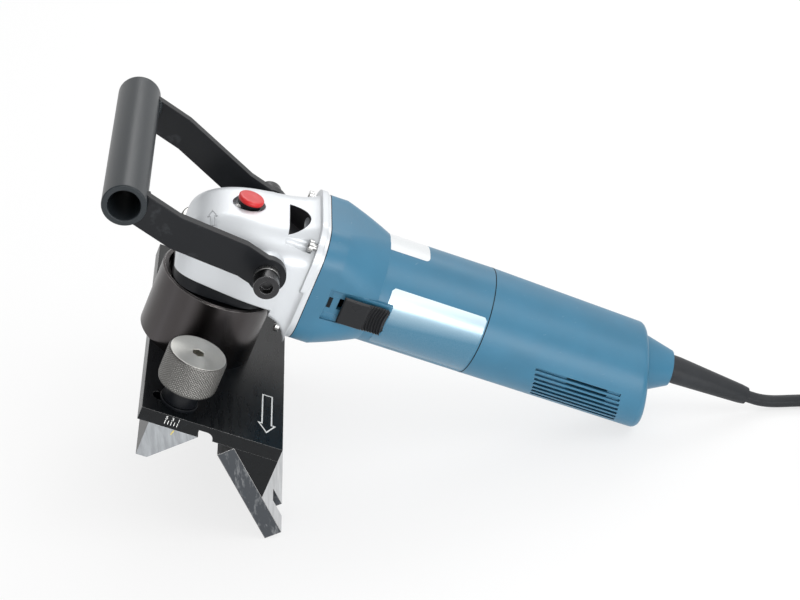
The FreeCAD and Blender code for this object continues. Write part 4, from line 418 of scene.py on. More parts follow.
def barrel_film(name, x_range, angle_range, corner, lift, finish, thick=0.12):
    """A sheet bent round the barrel: place along it by length, place round it by angle,
    each end drawn in along a corner circle."""
    along = np.linspace(*x_range, 40)
    inset = np.clip(corner - np.minimum(along - x_range[0], x_range[1] - along), 0, None)
    trim = (corner - np.sqrt(corner ** 2 - inset ** 2)) / BARREL_RADIUS
    low, high = (math.radians(a) for a in angle_range)
    share = np.linspace(0, 1, 32)
    angles = (low + trim)[:, None] * (1 - share) + (high - trim)[:, None] * share
    shoulder = np.clip((92 - along) / 8, 0, None)[:, None] * (np.sin(angles) > 0.8)
    reach = BARREL_RADIUS + lift + 0.6 * shoulder ** 2
    rings = np.stack([np.broadcast_to(along[:, None], angles.shape),
                      -reach * np.cos(angles), reach * np.sin(angles)], -1)
    thing = ridden(name, grid_mesh(name, rings, closed=False), "housing", finish)
    thicken(thing, thick)


def reflection_fade(name, high_point, low_point, pale, deep):
    """Satin film with a painted reflection: a fade from pale to deep by the share of the way between two places.
    """
    made, tree, shader, place = finish_base(name)
    start, end = (Vector(in_row([p])[0]) for p in (high_point, low_point))
    way = end - start
    arm = vector_step(tree, "SUBTRACT", place, start)
    share = vector_step(tree, "DOT_PRODUCT", arm, way / way.length_squared)
    middle = [(a + 2 * b) / 3 for a, b in zip(pale, deep)]
    tone = ramp(tree, share, [(0.05, pale), (0.35, middle), (0.7, deep)])
    flecks = ramp(tree, noise(tree, place, 1400, 3), [(0.3, 0.0), (0.7, 0.04)])
    tree.links.new(mix(tree, flecks, tone, pale), shader.inputs["Base Color"])
    shader.inputs["Metallic"].default_value = 0.2
    shader.inputs["Roughness"].default_value = 0.24
    shader.inputs["Coat Weight"].default_value = 0.5
    shader.inputs["Coat Roughness"].default_value = 0.1
    relief(tree, shader, [(flecks, 0.002)], 0.15)
    return made


def ink(name, colour, rough=0.45):
    """Thin printed or painted mark, a little uneven."""
    made, tree, shader, place = finish_base(name)
    patch = ramp(tree, noise(tree, place, 900, 4), [(0.3, 0.85), (0.7, 1.0)])
    tree.links.new(mix(tree, patch, [c * 0.7 for c in colour], colour),
                   shader.inputs["Base Color"])
    shader.inputs["Roughness"].default_value = rough
    return made


# Pale at the top, blue below: painted reflection of the light from above.
nameplate_film = reflection_fade("nameplate film", (110, -30, 17), (113, -35, -13),
                              (0.76, 0.91, 0.96), (0.036, 0.165, 0.27))
barrel_film("nameplate", (98.5, REAR_SEAM - 1.2), (-44, 33), 2.0, 0.08, nameplate_film)
white_sticker = ink("white sticker", (0.7, 0.72, 0.73), 0.3)
barrel_film("sticker", (88.5, 118.0), (74, 112), 3.0, 0.1, white_sticker)


# ---------------------------------------------------------------- switch
# Moulded black slider with curved grip ribs, keyed through a slot to the rod that works
# the switch inside the rear cover; blue guide cleats stand in the slot ahead of it.
SLIDER_FRONT = 71.0
SLIDER_LENGTH = 29.0
SLIDER_TOP = 8.0
SLIDER_HEIGHT = 19.0
SLIDER_BASE = 36.6
SLIDER_THICK = 4.5
SLIDER_WALL = 3.2


def slider_cap():
    """The slider's outer skin: thickness, less a dip and a fall behind the middle, plus
    ribs as a cosine of the bowed length, less a rounding near the rim."""
    u = np.linspace(0, 1, 97)[:, None]
    v = np.linspace(0, 1, 49)[None, :]
    ribs = np.clip((u - 0.52) / 0.48, 0, None)
    bow = u + 0.05 * (1 - (2 * v - 1) ** 2)
    rise = SLIDER_THICK - 0.6 * np.sin(ribs * math.pi) - 0.9 * ribs
    rise = rise + 0.5 * np.cos(bow * 2 * math.pi * 16) * np.minimum(1, ribs * 4)
    rim = np.minimum(np.minimum(u, 1 - u) * SLIDER_LENGTH, np.minimum(v, 1 - v) * SLIDER_HEIGHT)
    rise = rise - 1.1 * (1 - np.minimum(1, rim / 1.1)) ** 2
    rings = np.stack([SLIDER_FRONT + SLIDER_LENGTH * (u + 0 * v), -(SLIDER_BASE + rise),
                      SLIDER_TOP - SLIDER_HEIGHT * (v + 0 * u)], -1)
    mesh = grid_mesh("slider_cap", rings, closed=False, degrees=55)
    thing = ridden("slider_cap", mesh, "switch", black_plastic, ("switch_slider",))
    outward = mesh.polygons[0].normal.dot(TOOL.to_3x3() @ Vector((0, -1, 0))) > 0
    thicken(thing, SLIDER_WALL, -1 if outward else 1)


def brick(name, low, high, body, finish, width=0.3):
    """A small moulded block between two corners, with rounded edges."""
    (x0, y0, z0), (x1, y1, z1) = low, high
    ring = np.array([(x0, z0), (x1, z0), (x1, z1), (x0, z1)], float)
    rings = [np.stack([ring[:, 0], np.full(4, y), ring[:, 1]], 1) for y in (y0, y1)]
    thing = ridden(name, grid_mesh(name, rings), body, finish)
    round_edges(thing, width)


black_plastic = moulded_plastic("black plastic", (0.009, 0.010, 0.012), 0.3, 0.02, 0.4, 0.08,
                                0.3)
slider_cap()
brick("slider_key", (78, -37.5, -3), (90, -30.5, 3), "switch", black_plastic)
polished("switch_rod", black_plastic, 0.2)
polished("switch_module", black_plastic, 0.8)
for black_piece in ("air_baffle", "cooling_fan"):
    polished(black_piece, black_plastic)
for cleat, cleat_low, cleat_high in (
        ("cleat_top", (63.5, -36.7, 4.2), (69.6, -36.3, 7.4)),
        ("cleat_low", (62.5, -36.7, -10.6), (70.2, -36.3, -7.8))):
    brick(cleat, cleat_low, cleat_high, "housing", blue_plastic, 0.1)
# Dark sheet in the slot between the cleats: painted shade.
brick("cleat_slot_shade", (62.4, -36.6, -4.5), (65.0, -36.4, 3.0), "housing", painted_gap_shade,
      0.1)


# ---------------------------------------------------------------- gear head
# Aluminium casting in silver paint, screwed between the motor housing and the black
# bearing flange, with a turning arrow cast on top and an air window beside the seam.
WINDOW_PLACE = (19.0, -8.0)
WINDOW_RADIUS = 19.0
WINDOW_FRONT = 25.5
WINDOW_FLOOR = 21.0
WINDOW_MARGIN = 0.08
FLANK_RADIUS = 20.0


def along_tool(tree, place):
    """Distances along the tool's own axes in millimetres: for each axis, the product of
    the axis with the way from the tool's origin."""
    arm = vector_step(tree, "SUBTRACT", place, tuple(TOOL_ARRAY[:3, 3]))
    return [vector_step(tree, "DOT_PRODUCT", arm, tuple(TOOL_ARRAY[:3, axis] / MM ** 2))
            for axis in range(3)]


def window_shade_mask(tree, place):
    """One on the walls and floor of the air window, where the casting is painted with shade, zero
    on the rest of the casting: behind its flat edge, within its round edge and above its floor."""
    x, y, z = along_tool(tree, place)
    off_x = sum_up(tree, "SUBTRACT", x, WINDOW_PLACE[0])
    off_y = sum_up(tree, "SUBTRACT", y, WINDOW_PLACE[1])
    reach = sum_up(tree, "ADD", sum_up(tree, "MULTIPLY", off_x, off_x),
                   sum_up(tree, "MULTIPLY", off_y, off_y))
    within = sum_up(tree, "LESS_THAN", reach, (WINDOW_RADIUS + WINDOW_MARGIN) ** 2)
    behind = sum_up(tree, "GREATER_THAN", x, WINDOW_FRONT - WINDOW_MARGIN)
    above = sum_up(tree, "GREATER_THAN", z, WINDOW_FLOOR - WINDOW_MARGIN)
    return sum_up(tree, "MULTIPLY", within, sum_up(tree, "MULTIPLY", behind, above))


def silver_cast(name, colour, window=False):
    """Silver-painted casting: soft orange-peel skin, a few dark specks, rounded edges, and, where
    chosen, painted shade that turns the air window's walls and floor near black."""
    made, tree, shader, place = finish_base(name)
    clouds = noise(tree, place, 28, 4)
    specks = noise(tree, place, 900, 3)
    tone = mix(tree, ramp(tree, clouds, [(0.35, 0.0), (0.7, 1.0)]),
               [c * 0.94 for c in colour], colour)
    dirt = ramp(tree, specks, [(0.7, 0.0), (0.8, 0.18)])
    tone = mix(tree, dirt, tone, [c * 0.6 for c in colour])
    if window:
        # Painted shade: the air window's walls and floor turn near black and lose their metal.
        dark = window_shade_mask(tree, place)
        tone = mix(tree, dark, tone, (0.022, 0.022, 0.024))
        tree.links.new(sum_up(tree, "MULTIPLY", sum_up(tree, "SUBTRACT", 1.0, dark), 0.35),
                       shader.inputs["Metallic"])
    else:
        shader.inputs["Metallic"].default_value = 0.35
    tree.links.new(tone, shader.inputs["Base Color"])
    tree.links.new(ramp(tree, clouds, [(0.2, 0.34), (0.8, 0.44)]), shader.inputs["Roughness"])
    relief(tree, shader, [(noise(tree, place, 420, 3), 0.05), (specks, 0.02)], 1.0)
    return made


def outline_band(name, corners, width, surface, body, finish, thick=0.1):
    """An even line round a closed outline: each point moved half the width along the sum
    of its two sides' normals, divided by one plus their product, then laid on a surface."""
    corners = np.asarray(corners, float)
    share = np.arange(6)[None, :, None] / 6
    points = (corners[:, None] * (1 - share)
              + np.roll(corners, -1, axis=0)[:, None] * share).reshape(-1, 2)
    side = np.roll(points, -1, axis=0) - points
    side = side / np.linalg.norm(side, axis=1)[:, None]
    normal = np.stack([-side[:, 1], side[:, 0]], 1)
    before = np.roll(normal, 1, axis=0)
    shift = (normal + before) / (1 + (normal * before).sum(1))[:, None] * width / 2
    pair = np.stack([np.vstack([ring, ring[:1]]) for ring in (points + shift, points - shift)])
    thing = ridden(name, grid_mesh(name, surface(pair), closed=False), body, finish)
    thicken(thing, thick)


def head_flank(flat):
    """The casting's shoulder near the arrow, as a flat place pressed down by the square of
    the distance over twice its radius."""
    across, upward = FLANK_ACROSS, FLANK_UP
    normal = np.cross(across, upward)
    drop = (flat ** 2).sum(-1, keepdims=True) / (2 * FLANK_RADIUS)
    return (FLANK_PLACE + flat[..., :1] * across + flat[..., 1:] * upward
            + (0.35 - drop) * normal)


FLANK_PLACE = np.array([-21.3, -22.7, 22.6])
FLANK_UP = np.array([-0.209, 0.853, 0.478])
FLANK_ACROSS = np.array([0.86, 0.06, 0.505])
FLANK_ACROSS = FLANK_ACROSS - FLANK_UP * FLANK_ACROSS.dot(FLANK_UP)
FLANK_ACROSS = FLANK_ACROSS / np.linalg.norm(FLANK_ACROSS)
cast_aluminium = silver_cast("cast aluminium", (0.66, 0.685, 0.71), True)
polished("gear_head", cast_aluminium)
# The raised arrow is the casting's own silver paint made darker: painted shade along the relief.
shaded_arrow_paint = silver_cast("raised cast", (0.5, 0.52, 0.54))
outline_band("cast_arrow", [(-1.3, -5.2), (1.3, -5.2), (1.3, 1.0), (2.8, 1.0), (0, 5.4),
                            (-2.8, 1.0), (-1.3, 1.0)], 0.55, head_flank, "housing",
             shaded_arrow_paint, 0.6)


# ---------------------------------------------------------------- spindle lock button
# Domed red cap moulded on a black stem, held up by its spring in the recess on top of
# the casting.
def turned_form(name, profile, centre, around=96, degrees=40):
    """A turned form about the spindle's direction: each (radius, height) of the profile
    carried round the centre."""
    profile = np.asarray(profile, float)
    angles = np.linspace(0, 2 * math.pi, around, endpoint=False)
    radius, height = profile[:, :1], profile[:, 1:]
    rings = np.stack([centre[0] + radius * np.cos(angles), centre[1] + radius * np.sin(angles),
                      height + 0 * angles], -1)
    return grid_mesh(name, rings, ends=False, degrees=degrees)


red_plastic = moulded_plastic("red plastic", (0.62, 0.018, 0.02), 0.33, 0.01, 0.4, 0.1)
ridden("lock_cap", turned_form("lock_cap", [
    (0.001, 33.0), (4.0, 33.0), (6.9, 33.4), (7.8, 33.1), (8.2, 32.5), (8.2, 30.6),
    (7.9, 30.3), (0.001, 30.3)], (0, 0), degrees=50), "lock", red_plastic, ("lock_button",))
ridden("lock_skirt", turned_form("lock_skirt", [
    (0.001, 30.3), (7.5, 30.3), (7.5, 27.5), (4.0, 27.5), (4.0, 19.8), (0.001, 19.8)],
    (0, 0), 64), "lock", black_plastic)


# ---------------------------------------------------------------- flange, handle, screws
# Flat-bar arms welded to a steel tube, all in black satin paint, the tube and its welds in a
# lighter copy of that black as painted sheen; the arms turn on bushes and are held by two
# large socket screws. The bearing flange under the head is black too.
WELD_POINT = (-80.0, 39.0)
ARM_PIVOT = (19.0, 9.2)
ARM_FACE = 65.0
WELD_REACH = 13.7


def black_paint(name, colour, rough, pale=(0.11, 0.12, 0.13), rub=0.35):
    """Satin black paint: fine texture, grey edges that are partly wear and partly painted highlight, and a few
    rubbed spots.
    """
    made, tree, shader, place = finish_base(name)
    rubbed = ramp(tree, noise(tree, place, 55, 7), [(0.62, 0.0), (0.78, rub)])
    # Grey edges: partly wear, partly painted highlight.
    edges = sum_up(tree, "MULTIPLY", worn_and_lit_edges(tree, 0.5, place, 0.05, 0.35), 0.5)
    both = sum_up(tree, "MAXIMUM", rubbed, edges)
    tree.links.new(mix(tree, both, colour, pale), shader.inputs["Base Color"])
    shader.inputs["Roughness"].default_value = rough
    shader.inputs["Specular IOR Level"].default_value = 0.25
    relief(tree, shader, [(noise(tree, place, 1500, 4), 0.05)], 0.3)
    return made


def weld_bead(name, side):
    """A lumpy fillet where an arm meets the tube: a small circle carried round an arc of
    the tube, its size a sum of two sines of the step."""
    step = np.arange(46.0)[:, None]
    slope = math.atan2(WELD_POINT[1] - ARM_PIVOT[1], WELD_POINT[0] - ARM_PIVOT[0])
    angle = slope + math.pi + np.radians(-46 + 92 * step / 45)
    size = 1.5 + np.where((step > 2) & (step < 43), 0.6, 0.1) * (
        0.35 * np.sin(step * 1.9) + 0.25 * np.sin(step * 0.83 + side))
    turn = np.linspace(0, 2 * math.pi, 12, endpoint=False)[None, :]
    reach = WELD_REACH + size * np.cos(turn)
    rings = np.stack([WELD_POINT[0] + reach * np.cos(angle),
                      side * (ARM_FACE - 3.2) + size * np.sin(turn),
                      WELD_POINT[1] + reach * np.sin(angle)], -1)
    ridden(name, grid_mesh(name, rings, degrees=80), "handle", tube_paint_sheen)


black_steel = black_paint("black steel", (0.005, 0.006, 0.008), 0.34)
# Lighter copy of the arms' black for the tube and welds: painted sheen.
tube_paint_sheen = black_paint("tube paint", (0.02, 0.025, 0.029), 0.34, (0.09, 0.1, 0.11), 0.25)
for arm in ("handle_arm_near", "handle_arm_far"):
    polished(arm, black_steel, 0.7)
polished("handle_tube", tube_paint_sheen, 0.8)
# Pale screw edges: partly wear, partly painted highlight.
blacked_screw = machined_metal("blacked screw", (0.05, 0.05, 0.052), 0.28, 500, (1, 6, 1), 0.004,
                               0.6, (0.45, 0.45, 0.46), 0.15)
polished("handle_screws", blacked_screw, 0.35)
for black_piece in ("bar_screws", "bearing_flange", "bearing_flange_screws", "block_screws",
                    "collar_screws", "insert_screws", "plate_screws"):
    polished(black_piece, black_steel)
weld_bead("weld_near", -1)
weld_bead("weld_far", 1)


# ---------------------------------------------------------------- clamp collar
# Steel ring turned, ground and burnished brown-black, clamped on the flange's neck by two
# grub screws and bolted down to the base plate.
def turned_metal(name, colour, rough, centre, axis, pale=None, reflection_bands=0.0):
    """Lathe-turned metal: highlights fan out from its axis, with fine rings, and, where chosen,
    broad pale bands that lie along the axis as painted reflection."""
    made, tree, shader, place = finish_base(name)
    arm = vector_step(tree, "SUBTRACT", place, centre)
    around = vector_step(tree, "CROSS_PRODUCT", arm, axis)
    tree.links.new(around, shader.inputs["Tangent"])
    rings = shader_node(tree, "ShaderNodeTexNoise", noise_dimensions="1D", Scale=2600.0,
                        Detail=3.0)
    tree.links.new(vector_step(tree, "LENGTH", around), rings.inputs["W"])
    blotch = noise(tree, place, 60, 4)
    tone = mix(tree, ramp(tree, blotch, [(0.3, 0.0), (0.7, 1.0)]),
               [c * 0.86 for c in colour], colour)
    # Painted reflection: broad pale bands round the axis, mixed into the colour.
    if reflection_bands:
        reflection_stripe = shader_node(tree, "ShaderNodeTexNoise", Scale=1.7, Detail=1.5)
        tree.links.new(vector_step(tree, "NORMALIZE", around), reflection_stripe.inputs["Vector"])
        tone = mix(tree, ramp(tree, reflection_stripe.outputs["Fac"], [(0.38, 0.0), (0.66, reflection_bands)]),
                   tone, pale)
    # Pale edges: partly wear, partly painted highlight, such as the collar's bright rim.
    edges = sum_up(tree, "MULTIPLY", worn_and_lit_edges(tree, 0.4, place), 0.6)
    tree.links.new(mix(tree, edges, tone, (0.75, 0.74, 0.72)), shader.inputs["Base Color"])
    shader.inputs["Metallic"].default_value = 1.0
    shader.inputs["Roughness"].default_value = rough
    shader.inputs["Anisotropic"].default_value = 0.75
    relief(tree, shader, [(rings.outputs["Fac"], 0.004)], 0.3)
    return made


SPINDLE_WAY = tuple(JOINTS["spindle_spin"]["axis"])
# The collar's pale bands along its axis are painted reflection bands.
burnished_steel = turned_metal("burnished steel", (0.055, 0.049, 0.048), 0.26,
                               tuple(in_row([(0, 0, 0)])[0]), SPINDLE_WAY,
                               (0.13, 0.122, 0.125), 0.8)
polished("clamp_collar", burnished_steel, 0.4)


# ---------------------------------------------------------------- base plate and guides
# Anodised aluminium plate and fixed block, black all over; the sliding block is black with
# its sawn ends brushed bright, and the hardened guide bar is dark with ground faces.
PLATE_TOP = -73.0
PLATE_END = -101.0


def anodised(name, coated, rough, edge=0.5):
    """Black anodising: a hard satin skin with fine streaks and pale edges, partly wear and partly painted
    highlight.
    """
    made, tree, shader, place = finish_base(name)
    streaks = noise(tree, place, 260, 5, (1, 0.15, 1))
    spots = ramp(tree, noise(tree, place, 70, 6), [(0.6, 0.0), (0.8, 0.25)])
    tone = mix(tree, streaks, [c * 0.7 for c in coated], [c * 1.3 for c in coated])
    tone = mix(tree, spots, tone, [c * 5 for c in coated])
    # Pale edges: partly wear, partly painted highlight.
    if edge:
        edges = sum_up(tree, "MULTIPLY", worn_and_lit_edges(tree, 0.35, place), edge)
        tone = mix(tree, edges, tone, (0.5, 0.5, 0.5))
    tree.links.new(tone, shader.inputs["Base Color"])
    tree.links.new(ramp(tree, streaks, [(0.3, rough - 0.04), (0.7, rough + 0.06)]),
                   shader.inputs["Roughness"])
    shader.inputs["Specular IOR Level"].default_value = 0.25
    relief(tree, shader, [(streaks, 0.004)], 0.25)
    return made


def cut_ends(tree):
    """One on the faces square to the guides, where a bar was cut to length."""
    facing = tree.nodes.new("ShaderNodeNewGeometry")
    parts = tree.nodes.new("ShaderNodeSeparateXYZ")
    tree.links.new(facing.outputs["True Normal"], parts.inputs[0])
    return sum_up(tree, "GREATER_THAN", sum_up(tree, "ABSOLUTE", parts.outputs["Y"]), 0.8)


def sawn_ends(name, coated, bare):
    """Black anodised aluminium, bare and brushed on the ends that were cut to length."""
    made, tree, shader, place = finish_base(name)
    end = cut_ends(tree)
    brushed = noise(tree, place, 300, 6, (1.6, 1, 0.25))
    metal = mix(tree, ramp(tree, brushed, [(0.36, 0.0), (0.7, 1.0)]),
                [c * 0.72 for c in bare], bare)
    # Pale edges: partly wear, partly painted highlight.
    edges = sum_up(tree, "MULTIPLY", worn_and_lit_edges(tree, 0.4, place), 0.8)
    black = mix(tree, edges, coated, (0.5, 0.5, 0.5))
    tree.links.new(mix(tree, end, black, metal), shader.inputs["Base Color"])
    tree.links.new(sum_up(tree, "MULTIPLY", end, 0.7), shader.inputs["Metallic"])
    shader.inputs["Roughness"].default_value = 0.4
    relief(tree, shader, [(brushed, 0.01)], 0.3)
    return made


def ground_faces(name, ground, scaled):
    """Hardened bar: long faces ground bright along their length, ends left dark with pale
    scratches, and bright edges that are partly wear and partly painted highlight."""
    made, tree, shader, place = finish_base(name)
    end = cut_ends(tree)
    lines = noise(tree, place, 420, 6, (1, 0.1, 1))
    bright = mix(tree, ramp(tree, lines, [(0.35, 0.0), (0.7, 1.0)]),
                 [c * 0.75 for c in ground], ground)
    scratches = ramp(tree, noise(tree, place, 480, 9, (1, 1, 0.35)), [(0.54, 0.0), (0.66, 0.7)])
    dark = mix(tree, scratches, scaled, (0.26, 0.27, 0.28))
    # Bright edges: partly wear, partly painted highlight.
    edges = worn_and_lit_edges(tree, 0.7, place, 0.01, 0.08)
    tree.links.new(mix(tree, edges, mix(tree, end, bright, dark), (0.62, 0.61, 0.6)),
                   shader.inputs["Base Color"])
    shader.inputs["Metallic"].default_value = 1.0
    shader.inputs["Roughness"].default_value = 0.33
    relief(tree, shader, [(lines, 0.01), (scratches, 0.02)], 0.3)
    return made


def plate_face(flat):
    """Points of the plate's top face."""
    return np.concatenate([flat, np.full(flat.shape[:-1] + (1,), PLATE_TOP + 0.03)], -1)


def end_mark(name, corners, finish, body="housing"):
    """A thin four-cornered mark on the plate's near end, from its points (x, z)."""
    places = [(x, PLATE_END - 0.03, z) for x, z in corners]
    rings = [[places[0], places[1]], [places[3], places[2]]]
    thing = ridden(name, grid_mesh(name, rings, closed=False), body, finish)
    thicken(thing, 0.06)


def numeral(digit, x):
    """A plain printed numeral on the plate's near end."""
    curve = bpy.data.curves.new("digit", "FONT")
    curve.body = digit
    curve.size = 3.4
    curve.extrude = 0.03
    curve.fill_mode = "BOTH"
    holder = placed("digit", curve)
    bpy.context.view_layer.update()
    mesh = bpy.data.meshes.new_from_object(holder)
    bpy.data.objects.remove(holder)
    upright = Matrix.Rotation(math.pi / 2, 4, "X")
    mesh.transform(TOOL @ Matrix.Translation((x, PLATE_END - 0.04, -76.3)) @ upright)
    ridden("digit_" + digit, mesh, "housing", white_ink)


black_aluminium = anodised("black anodised", (0.004, 0.005, 0.006), 0.28)
polished("base_plate", black_aluminium, 0.3)
plain_black = anodised("fixed block", (0.0035, 0.0045, 0.0055), 0.28, 0.0)
polished("fixed_guide_block", plain_black)
sliding_block = sawn_ends("sliding block", (0.012, 0.013, 0.014), (0.42, 0.44, 0.46))
polished("sliding_guide_block", sliding_block, 0.35)
guide_steel = ground_faces("guide steel", (0.66, 0.67, 0.68), (0.09, 0.097, 0.107))
polished("guide_bar", guide_steel, 0.35)
white_ink = ink("white ink", (0.82, 0.83, 0.82))
yellow_ink = ink("yellow ink", (0.85, 0.66, 0.03))
outline_band("feed_arrow", [(46.4, -45.5), (46.4, -78), (44.2, -78), (49.5, -87), (54.8, -78),
                            (52.6, -78), (52.6, -45.5)], 0.9, plate_face, "housing",
             white_ink, 0.06)
for step in range(5):
    mark_x = -13.3 + 1.93 * step
    end_mark(f"mark_{step}", [(mark_x - 0.2, -76.9), (mark_x + 0.2, -76.9),
                              (mark_x + 0.2, -79.6), (mark_x - 0.2, -79.6)], white_ink)
for digit, digit_x in (("5", -13.9), ("3", -10.1), ("1", -6.3)):
    numeral(digit, digit_x)
end_mark("index_line", [(-6.4, -82.4), (-6.0, -82.4), (-6.9, -86.0), (-7.4, -86.0)],
         yellow_ink, "guide_slide")


# ---------------------------------------------------------------- clamp knobs
# Knurled steel nuts on fixed studs, turned bright with a hexagon socket in the top and a
# blackened neck that presses on a washer; they clamp the sliding block.
KNOB_X = -7.5
KNOB_RADIUS = 18.6
KNOB_TOP = -35.8
KNOB_HEIGHT = 22.2
KNOB_NECK = 11.0
KNOB_FOOT = -71.0


def knurl(name, across):
    """The knurled band: two crossed threads cut into a cylinder leave small pyramids.
    Depth is the lesser of two absolute sines of the angle plus or minus the height."""
    diamonds, samples, pitch = 64, 6, 1.8
    around = diamonds * samples
    rows = int(KNOB_HEIGHT / pitch * samples)
    angles = np.linspace(0, 2 * math.pi, around, endpoint=False)[None, :]
    row = np.arange(rows + 1)[:, None]
    drop = KNOB_HEIGHT * row / rows
    first = np.abs(np.sin(diamonds * angles / 2 + math.pi * drop / pitch))
    second = np.abs(np.sin(diamonds * angles / 2 - math.pi * drop / pitch))
    edge = np.minimum(1.0, np.minimum(row, rows - row) / samples)
    depth = 0.7 * (1 - np.minimum(first, second)) * edge + 0.7 * (1 - edge)
    radius = KNOB_RADIUS + 0.1 - depth
    rings = np.stack([KNOB_X + radius * np.cos(angles), across + radius * np.sin(angles),
                      KNOB_TOP - drop + 0 * angles], -1)
    mesh = grid_mesh(name + "_knurl", rings, ends=False, degrees=60)
    ridden(name + "_knurl", mesh, BODY_OF[name], knurled)


def knob_faces(name, across):
    """Turned face with a hexagon socket, rim and foot, one lathe form: the socket's rings
    are a hexagon's reach in each direction, the others circles."""
    angles = np.linspace(0, 2 * math.pi, 96, endpoint=False)
    hexagon = 3.4 / np.cos((angles + math.pi / 6) % (math.pi / 3) - math.pi / 6)
    levels = [(hexagon * 0, KNOB_TOP - 9), (hexagon, KNOB_TOP - 9), (hexagon, KNOB_TOP - 0.3),
              (hexagon + 0.3, KNOB_TOP)]
    foot = KNOB_TOP - KNOB_HEIGHT
    levels += [(np.full(96, radius), height) for radius, height in (
        (KNOB_RADIUS - 1.1, KNOB_TOP), (KNOB_RADIUS - 1.0, KNOB_TOP - 0.15),
        (KNOB_RADIUS - 1.0, foot + 0.15), (KNOB_RADIUS - 1.1, foot),
        (KNOB_NECK - 0.5, foot), (0.001, foot))]
    rings = [np.stack([KNOB_X + radius * np.cos(angles), across + radius * np.sin(angles),
                       np.full(96, height)], 1) for radius, height in levels]
    finish = turned_metal(name + " turned", (0.74, 0.73, 0.69), 0.3,
                          tuple(in_row([(KNOB_X, across, 0)])[0]), SPINDLE_WAY)
    mesh = grid_mesh(name, rings, ends=False, degrees=35)
    thing = ridden("finished_" + name, mesh, BODY_OF[name], finish, (name,))
    round_edges(thing, 0.25)
    neck = turned_form(name + "_neck", [
        (0.001, foot + 0.2), (KNOB_NECK, foot + 0.2), (KNOB_NECK, KNOB_FOOT + 0.5),
        (KNOB_NECK - 0.5, KNOB_FOOT), (0.001, KNOB_FOOT)], (KNOB_X, across), 64)
    ridden(name + "_neck", neck, BODY_OF[name], black_steel)


# Pale knurl tips: partly wear, partly painted highlight on the facets.
knurled = machined_metal("knurled steel", (0.1, 0.098, 0.094), 0.3, 700, (1, 1, 2), 0.002,
                         0.45, (0.34, 0.335, 0.32), 0.0)
for knob_name, knob_across in (("clamp_knob_near", -83.0), ("clamp_knob_far", 83.0)):
    knob_faces(knob_name, knob_across)
    knurl(knob_name, knob_across)
polished("clamp_studs", bright_steel)
polished("clamp_washers", black_steel, 0.3)


# ---------------------------------------------------------------- power cord
# Round rubber mains lead of 2.5 m out of the strain relief, wound into a coil on the bench
# with its moulded plug laid beside it.
CORD_RADIUS = 4.0
LEAD_ROUTE = [
    (216.62, 0, 10.67), (222.27, 0, 7.67), (228.81, 0, 5.47), (236.31, 0, 4.24),
    (250.29, -0.73, 4.1), (276.1, -3.9, 4.1), (305.55, -9.62, 4.1), (330.65, -16.35, 4.1),
]
COIL_CENTRE = (315.9, -71.4)
COIL_TURNS = (57, 49, 41, 33)
COIL_LAYERS = (4.05, 12.05)
COIL_START = 75
POINTS_PER_TURN = 16
TAIL_ROUTE = [
    (330.65, -16.35, 12.05), (350.55, -30.0, 14.0), (360.25, -50.7, 18.0), (359.95, -71.4, 20.15),
    (353.45, -91.4, 20.15), (340.95, -107.4, 20.6), (324.95, -115.4, 22.2), (309.95, -117.4, 23.3),
]


def coil_points():
    """Turns wound inwards on the bench, then outwards on top of them: the radius of each
    turn, eased into the next over its last quarter, at equal angles."""
    total = len(COIL_TURNS) * POINTS_PER_TURN
    step = np.arange(total)
    turn, share = step // POINTS_PER_TURN, step % POINTS_PER_TURN / POINTS_PER_TURN
    angle = np.radians(COIL_START - 360 * step / POINTS_PER_TURN)
    layers = []
    for layer, level in enumerate(COIL_LAYERS):
        radii = np.array(COIL_TURNS if layer == 0 else COIL_TURNS[::-1], float)
        after = np.append(radii[1:], radii[-1])
        ease = np.clip((share - 0.75) / 0.25, 0, None)
        radius = (radii[turn] + (after - radii)[turn] * ease) / math.cos(
            math.pi / POINTS_PER_TURN)
        rise = np.clip((step - total + 4) / 4, 0, None) * (layer == 0)
        height = level + (COIL_LAYERS[1] - COIL_LAYERS[0]) * rise
        layers.append(np.stack([COIL_CENTRE[0] + radius * np.cos(angle),
                                COIL_CENTRE[1] + radius * np.sin(angle), height], 1))
    return np.vstack(layers).tolist()


def power_cord():
    """The whole power cord as one smooth curve: lead, coil and tail to the plug."""
    route = LEAD_ROUTE[:-1] + coil_points() + TAIL_ROUTE
    curve = bpy.data.curves.new("cord", "CURVE")
    curve.dimensions = "3D"
    curve.bevel_depth = CORD_RADIUS * MM
    curve.bevel_resolution = 5
    curve.resolution_u = 6
    curve.use_fill_caps = True
    spline = curve.splines.new("NURBS")
    spline.points.add(len(route) - 1)
    for point, place in zip(spline.points, route):
        point.co = (*(c * MM for c in place), 1)
    spline.order_u = 3
    spline.use_endpoint_u = True
    thing = placed("power_cord", curve)
    curve.materials.append(black_rubber)
    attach(thing, "housing")
    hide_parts("cord_lead", "cord_coil", "cord_tail")


black_rubber = dusty("black rubber", (0.02, 0.022, 0.025))
for moulded_end in ("strain_relief", "plug"):
    polished(moulded_end, black_rubber)
power_cord()


